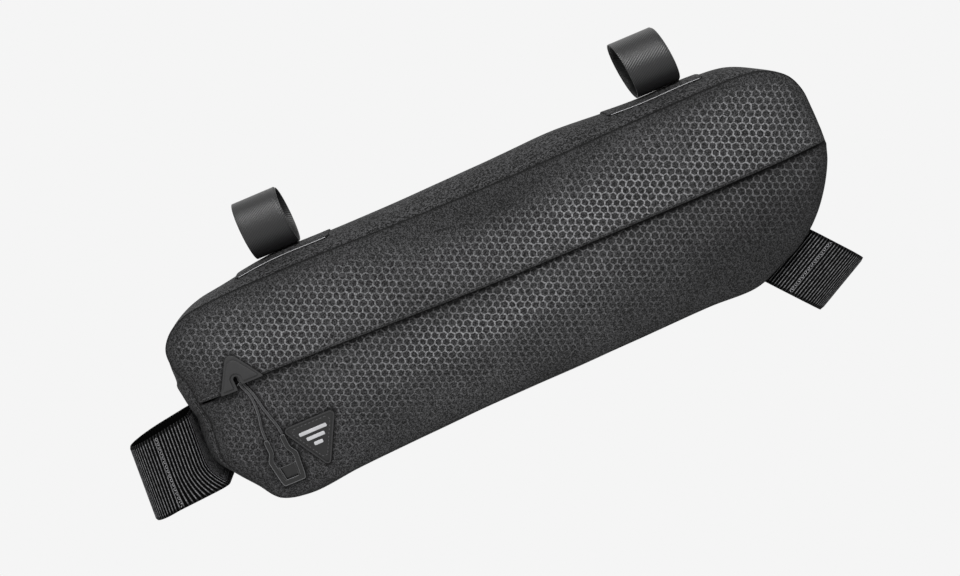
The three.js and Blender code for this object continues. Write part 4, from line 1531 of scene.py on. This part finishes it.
@dataclass
class TopStraps:
    """The hook-and-loop straps round the carrying bar, and the patches that they sit on."""

    form: BagForm
    narrowing: float = 1.5 * MM
    skews: tuple[float, float] = (0.03, 0.13)
    shifts: tuple[float, float] = (1.6 * MM, 0.0)
    layer: float = 0.62 * MM
    edge: float = 0.22 * MM
    step: float = 0.9 * MM
    thickness: float = 1.4 * MM
    unrolled_radius: float = 19.0 * MM
    patch_thickness: float = 0.9 * MM
    patch_corner: float = 3.1 * MM
    patch_edge: float = 0.17 * MM

    def _layer(self, low: float, high: float, inner: float, outer: float, skew: float) -> BMesh:
        """One layer of strap, spun from its section round the bar's axis.

        Args:
            low: Its rear edge in X.
            high: Its front edge in X.
            inner: Inner radius.
            outer: Outer radius.
            skew: How far it leans to the rear for its height.

        Returns:
            The ring.
        """
        builder, vertices = flat_face(rectangle(low, high, inner, outer))
        round_corners(builder, vertices, self.edge, 3)
        for cut in np.linspace(low, high, 12)[1:-1]:
            cut_across(builder, (cut, 0.0, 0.0), (1.0, 0.0, 0.0))
        rim = [edge for edge in builder.edges if edge.is_boundary]
        bmesh.ops.delete(builder, geom=builder.faces[:], context="FACES_ONLY")
        bmesh.ops.delete(builder, geom=[edge for edge in builder.edges if edge not in rim], context="EDGES")
        bmesh.ops.spin(
            builder, geom=builder.verts[:] + builder.edges[:], cent=(0.0, 0.0, 0.0), axis=(1.0, 0.0, 0.0),
            dvec=(0.0, 0.0, 0.0), angle=FULL_TURN, steps=96, use_merge=True, use_duplicate=False,
        )
        weld(builder)
        orient(builder)
        self._unroll(builder)
        for vertex in builder.verts:
            vertex.co.x -= skew * vertex.co.z
        return builder

    def _unroll(self, builder: BMesh) -> None:
        """Gives the ring a UV map in metres: across the strap, and round the bar."""
        uv = builder.loops.layers.uv.new("UVMap")
        for face in builder.faces:
            middle = face.calc_center_median()
            base = math.atan2(middle.y, middle.z)
            for loop in face.loops:
                angle = math.atan2(loop.vert.co.y, loop.vert.co.z)
                angle = base + (angle - base + math.pi) % (FULL_TURN) - math.pi
                loop[uv].uv = (loop.vert.co.x, angle * self.unrolled_radius)

    def _patch(self, node: str) -> Object:
        """A patch that lies on the crown of the gusset."""
        low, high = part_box(node)
        builder = flat_outline(rectangle(low[0], high[0], low[1], high[1]), self.patch_corner, 8)
        raise_slab(builder, self.patch_thickness, 0.3 * MM)
        spots = vertex_spots(builder)
        heights = self.form.top_surface(spots[:, 0], spots[:, 2])
        for vertex, spot, height in zip(builder.verts, spots, heights):
            vertex.co = (spot[0], spot[2], height - spot[1] + CLEARANCE)
        orient(builder)
        return new_object(f"{node}_cloth", builder)

    def _patch_edge(self, node: str) -> BMesh:
        """The pale cut edge that runs along a patch's near side."""
        low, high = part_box(node)
        y = low[1] - 0.1 * MM

        def place(u: Array, v: Array) -> Array:
            """Places a thin tube along the edge."""
            x = low[0] + 2.5 * MM + (high[0] - low[0] - 5.0 * MM) * u
            angle = v * FULL_TURN
            height = self.form.top_surface(x, np.full(len(x), y)) + 0.75 * MM
            across, up = self.patch_edge * np.cos(angle), self.patch_edge * np.sin(angle)
            return np.stack([x, y + across, height + up], axis=1)

        builder = mapped_grid(60, np.linspace(0.0, 1.0, 9), place, (0.06, 0.002))
        weld(builder, WELD / 2.0)
        bmesh.ops.holes_fill(builder, edges=builder.edges[:], sides=12)
        orient(builder)
        return builder

    def build(self, twill: Material, cloth: Material, pale: Material) -> None:
        """Builds and dresses both straps and both patches."""
        for end, skew, shift in zip(("rear", "front"), self.skews, self.shifts):
            node = f"top_strap_{end}"
            low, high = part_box(node)
            outer = high[2]
            inner = outer - self.thickness
            rear = low[0] + self.narrowing + shift
            front = high[0] - self.narrowing + shift
            ring = self._layer(rear, front - self.step, inner + 0.72 * MM, outer, skew)
            add_piece(f"{node}_outer", ring, twill, Slot.HOOK_LOOP, node)
            ring = self._layer(rear + self.step, front, inner, inner + self.layer, skew)
            add_piece(f"{node}_inner", ring, twill, Slot.HOOK_LOOP)
            patch = f"top_patch_{end}"
            dress(self._patch(patch), cloth, Slot.PLAIN, patch)
            add_piece(f"{patch}_edge", self._patch_edge(patch), pale, Slot.PLAIN)


@dataclass
class WebbingLoop:
    """A ribbed webbing strap round a bar, with its flat stretch on the gusset."""

    node: str
    radius: float
    stand_off: float
    width: float
    turn: float
    skew: float
    rib_pitch: float
    seam_share: float
    rib_height: float = 0.7 * MM
    thickness: float = 1.5 * MM
    corner: float = 4.0 * MM
    border: float = 2.2 * MM
    sag: float = 0.0

    def _follow(self, x: Array, z: Array) -> Array:
        """How far the flat stretch reaches after the gusset, which draws away below the strap's middle."""
        below = np.clip(-z / (self.width / 2.0), 0.0, 1.2)
        return self.sag * below**2 * np.clip(x / (self.radius + self.stand_off), 0.0, 1.0) ** 1.3

    def _outline(self) -> Chain:
        """The loop's outer line in its own plane, X toward the bag and Y across."""
        flat = self.radius + self.stand_off + self.thickness
        reach = self.radius + self.thickness
        corner = self.corner + self.thickness
        around = arc((0.0, 0.0), reach, math.pi / 2, 1.5 * math.pi, 61)
        bend = arc((flat - corner, corner - reach), corner, -math.pi / 2, 0.0, 13)
        back = [(x, -y) for x, y in reversed(bend)]
        return Chain(np.array(around + bend + back + around[:1]))

    def centre(self) -> Vector:
        """The bar's middle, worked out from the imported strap's box."""
        low, high = (Vector(corner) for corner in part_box(self.node))
        shift = self.stand_off / 2.0
        turned = math.radians(self.turn)
        toward = Vector((math.cos(turned), 0.0, -math.sin(turned)))
        axis = Vector((math.sin(turned), 0.0, math.cos(turned)))
        middle = (low + high) / 2.0 - toward * shift - axis * (self.skew * shift)
        LOG.info("%s: centre %s", self.node, tuple(round(value, 4) for value in middle))
        return middle

    def _frame(self) -> Matrix:
        """Turns the loop's own plane into its place on the bag."""
        return Matrix.Translation(self.centre()) @ Matrix.Rotation(math.radians(self.turn), 4, "Y")

    def _place(self, u: Array, v: Array) -> Array:
        """Places the ribbed outer face in the loop's own plane."""
        outline = self._outline()
        share = u % 1.0
        spot = outline.at(share)
        ahead = outline.at((share + 0.002) % 1.0)
        behind = outline.at((share - 0.002) % 1.0)
        along = ahead - behind
        along /= np.linalg.norm(along, axis=1)[:, None]
        outward = np.stack([along[:, 1], -along[:, 0]], axis=1)
        ribs = round(outline.length / self.rib_pitch)
        swell = np.abs(np.cos(share * ribs * math.pi)) ** 2.2
        edge = np.minimum(v, 1.0 - v) * self.width
        border = 1.0 - smooth_step((edge - self.border) / (0.5 * MM))
        level = swell * (1.0 - border) + 0.45 * border
        rounding = 1.0 - smooth_step(edge / (0.7 * MM) + 0.1)
        out = -self.rib_height * (1.0 - level * (1.0 - rounding))
        x = spot[:, 0] + outward[:, 0] * out
        y = spot[:, 1] + outward[:, 1] * out
        z = (v - 0.5) * self.width + self.skew * x
        return np.stack([x + self._follow(x, z), y, z], axis=1)

    def _stitches(self, place: Matrix) -> BMesh:
        """A zigzag of stitches across the strap's near run."""
        outline = self._outline()
        builder = bmesh.new()
        count = int(self.width / (1.6 * MM))
        zig = np.arange(count + 1)
        offset = np.where(zig % 2 == 0, -0.9 * MM, 0.9 * MM) / outline.length
        spots = outline.at(self.seam_share + offset)
        across = np.linspace(-0.47, 0.47, count + 1) * self.width + self.skew * spots[:, 0]
        local = np.stack([spots[:, 0] + self._follow(spots[:, 0], across), spots[:, 1], across], axis=1)
        path = np.array([place @ Vector(spot) for spot in local])
        middle = self.centre()
        normals = np.array([(Vector(spot) - middle).normalized() for spot in path])
        for k in range(count):
            sew(builder, path[k:k + 2], normals[k:k + 2], 1.9 * MM, 2.0 * MM, 0.32 * MM)
        return builder

    def build(self, webbing: Material, thread: Material) -> None:
        """Builds and dresses the strap."""
        outline = self._outline()
        ribs = round(outline.length / self.rib_pitch)
        size = (ribs * self.rib_pitch, self.width)
        rows = eased_shares(18)
        builder = mapped_grid(ribs * 8, rows, self._place, size)
        weld(builder)
        face_outward(builder, lambda spot: Vector((spot.x, spot.y, 0.0)))
        place = self._frame()
        bmesh.ops.transform(builder, matrix=place, verts=builder.verts[:])
        strap = new_object(f"{self.node}_webbing", builder)
        add_wall(strap, self.thickness - self.rib_height)
        dress(strap, webbing, Slot.WEBBING, self.node)
        add_piece(f"{self.node}_stitches", self._stitches(place), thread, Slot.WEBBING)


@dataclass
class Studio:
    """The pale floor and backdrop, soft lights and the camera."""

    target: tuple[float, float, float] = (-0.0203, -0.038, -0.0845)
    lit_spot: tuple[float, float, float] = (0.0, 0.0, -0.09)
    lights: tuple[tuple[str, tuple[float, float, float], float, float], ...] = (
        ("key", (0.12, -1.40, 1.22), 0.8, 40.0), ("fill", (-1.6, -1.2, 0.5), 1.4, 4.0),
        ("rim", (0.3, 1.1, 1.4), 1.2, 3.0),
    )
    floor: float = -0.62
    bend: float = 1.2
    half_width: float = 30.0
    wall_top: float = 9.0
    distance: float = 0.803
    elevation: float = 10.0
    roll: float = 23.0
    lens: float = 49.5

    def _backdrop(self) -> None:
        """A floor that curves up into a wall behind the bag."""
        builder = bmesh.new()
        start = (self.bend, self.floor)
        bend = arc((self.bend, self.floor + self.bend), self.bend, 0.1 - math.pi / 2, 0.0, 14)
        points = [(-self.half_width, self.floor), start, *bend, (2.0 * self.bend, self.wall_top)]
        vertices = [builder.verts.new((-self.half_width, y, z)) for y, z in points]
        edges = [builder.edges.new(pair) for pair in zip(vertices, vertices[1:])]
        swept = bmesh.ops.extrude_edge_only(builder, edges=edges)
        moved = [item for item in swept["geom"] if isinstance(item, bmesh.types.BMVert)]
        bmesh.ops.translate(builder, verts=moved, vec=(2.0 * self.half_width, 0.0, 0.0))
        backdrop = new_object("studio_floor", builder)
        material, board = start_material("studio_paper")
        shader = board.node("Emission", Color=(1.0, 1.0, 1.0, 1.0), Strength=0.913)
        board.node("OutputMaterial", Surface=shader.outputs[0])
        backdrop.data.materials.append(material)

    def _light(self, name: str, spot: tuple[float, float, float], size: float, power: float) -> None:
        """A square soft light that looks at the bag."""
        data = bpy.data.lights.new(name, "AREA")
        data.size = size
        data.energy = power
        light = bpy.data.objects.new(name, data)
        light.location = spot
        toward = Vector(self.lit_spot) - Vector(spot)
        light.rotation_euler = toward.to_track_quat("-Z", "Y").to_euler()
        link(light)

    def camera(self) -> None:
        """Sets the camera at the photo's angle, rolled as the photo is."""
        data = bpy.data.cameras.new("camera")
        data.lens = self.lens
        data.sensor_width = 36.0
        data.clip_start = 0.01
        camera = bpy.data.objects.new("camera", data)
        tilt = math.radians(self.elevation)
        back = Vector((0.0, -math.cos(tilt), math.sin(tilt)))
        camera.location = Vector(self.target) + back * self.distance
        turn = (-back).to_track_quat("-Z", "Y") @ Euler((0.0, 0.0, math.radians(-self.roll))).to_quaternion()
        camera.rotation_mode = "QUATERNION"
        camera.rotation_quaternion = turn
        bpy.context.scene.camera = link(camera)

    def build(self) -> None:
        """Builds floor, lights and surroundings."""
        self._backdrop()
        for light in self.lights:
            self._light(*light)
        world = bpy.data.worlds.new("studio")
        world.use_nodes = True
        board = Board(world.node_tree)
        sky = board.node("Background", Color=(0.93, 0.93, 0.93, 1.0), Strength=0.42)
        board.node("OutputWorld", Surface=sky.outputs[0])
        bpy.context.scene.world = world


def main() -> None:
    """Builds the scene in order."""
    logging.basicConfig(level=logging.INFO, format="%(message)s")
    bpy.context.scene.view_settings.view_transform = "Standard"
    studio = Studio()
    studio.camera()
    finishes = Finishes()
    form = BagForm()
    printed = MelangeCloth("honeycomb_cloth", 0.0045, 0.046, printed=0.26).build(finishes)
    plain = MelangeCloth("melange_cloth", 0.003, 0.052, grain=1.5).build(finishes)
    # Near-black cloth for the seam cords: painted shade for the seam's groove.
    dark = MelangeCloth("seam_groove_shade_cloth", 0.004, 0.010).build(finishes)
    tape = MelangeCloth("zip_cloth", 0.003, 0.007).build(finishes)
    rubber = MouldedRubber("moulded_rubber", 0.018).build(finishes)
    # The grip's rubber gets a painted highlight along its edges.
    grip_rubber = MouldedRubber("grip_rubber_finish", 0.006, 0.32, edge=0.2).build(finishes)
    pale = MouldedRubber("pale_rubber", 0.42).build(finishes)
    pale_edge = MouldedRubber("pale_edge", 0.42).build(finishes)
    metal = MouldedRubber("black_metal", 0.03, 0.4).build(finishes)
    # The cord gets a painted highlight along its edges.
    braid = BraidedCord("braided_cord", 0.03, edge=0.22).build(finishes)
    thread = BraidedCord("sewing_thread", 0.075).build(finishes)
    pale_thread = BraidedCord("pale_thread", 0.2).build(finishes)
    # Darker rubber for the badge's base: partly its own colour, partly painted shade in the groove inside the
    # rim.
    field = MouldedRubber("badge_field", 0.008).build(finishes)
    twill = TwillTape("hook_and_loop").build(finishes)

    zip_closure = ZipClosure(form)
    pull = PullCord(form)
    badge = BadgePatch(form)
    # The panels paint contact shadows round these footprints.
    panels = SidePanels(form, contacts=(*pull.footprint(), badge.footprint(), zip_closure.footprint()))
    panels.build(printed)
    panels.flap_stitches(thread)
    GussetBand(form).build(plain, dark, thread)
    zip_closure.build(tape, metal, rubber)
    pull.build(grip_rubber, braid)
    badge.build(rubber, field, pale, thread)
    TopStraps(form).build(twill, plain, pale_edge)
    loops = (
        WebbingLoop(
            "rear_strap", radius=17.5 * MM, stand_off=7.2 * MM, width=51.0 * MM, turn=5.5, skew=0.25,
            rib_pitch=2.1 * MM, seam_share=0.43, border=1.0 * MM, sag=19.0 * MM,
        ),
        WebbingLoop(
            "front_strap", radius=20.5 * MM, stand_off=2.0 * MM, width=43.0 * MM, turn=-119.0, skew=0.2,
            rib_pitch=2.05 * MM, seam_share=0.495,
        ),
    )
    for loop in loops:
        webbing = RibbedWebbing(f"{loop.node}_ribs", loop.rib_pitch, loop.width).build(finishes)
        loop.build(webbing, pale_thread)
    studio.build()


if __name__ == "__main__":
    main()
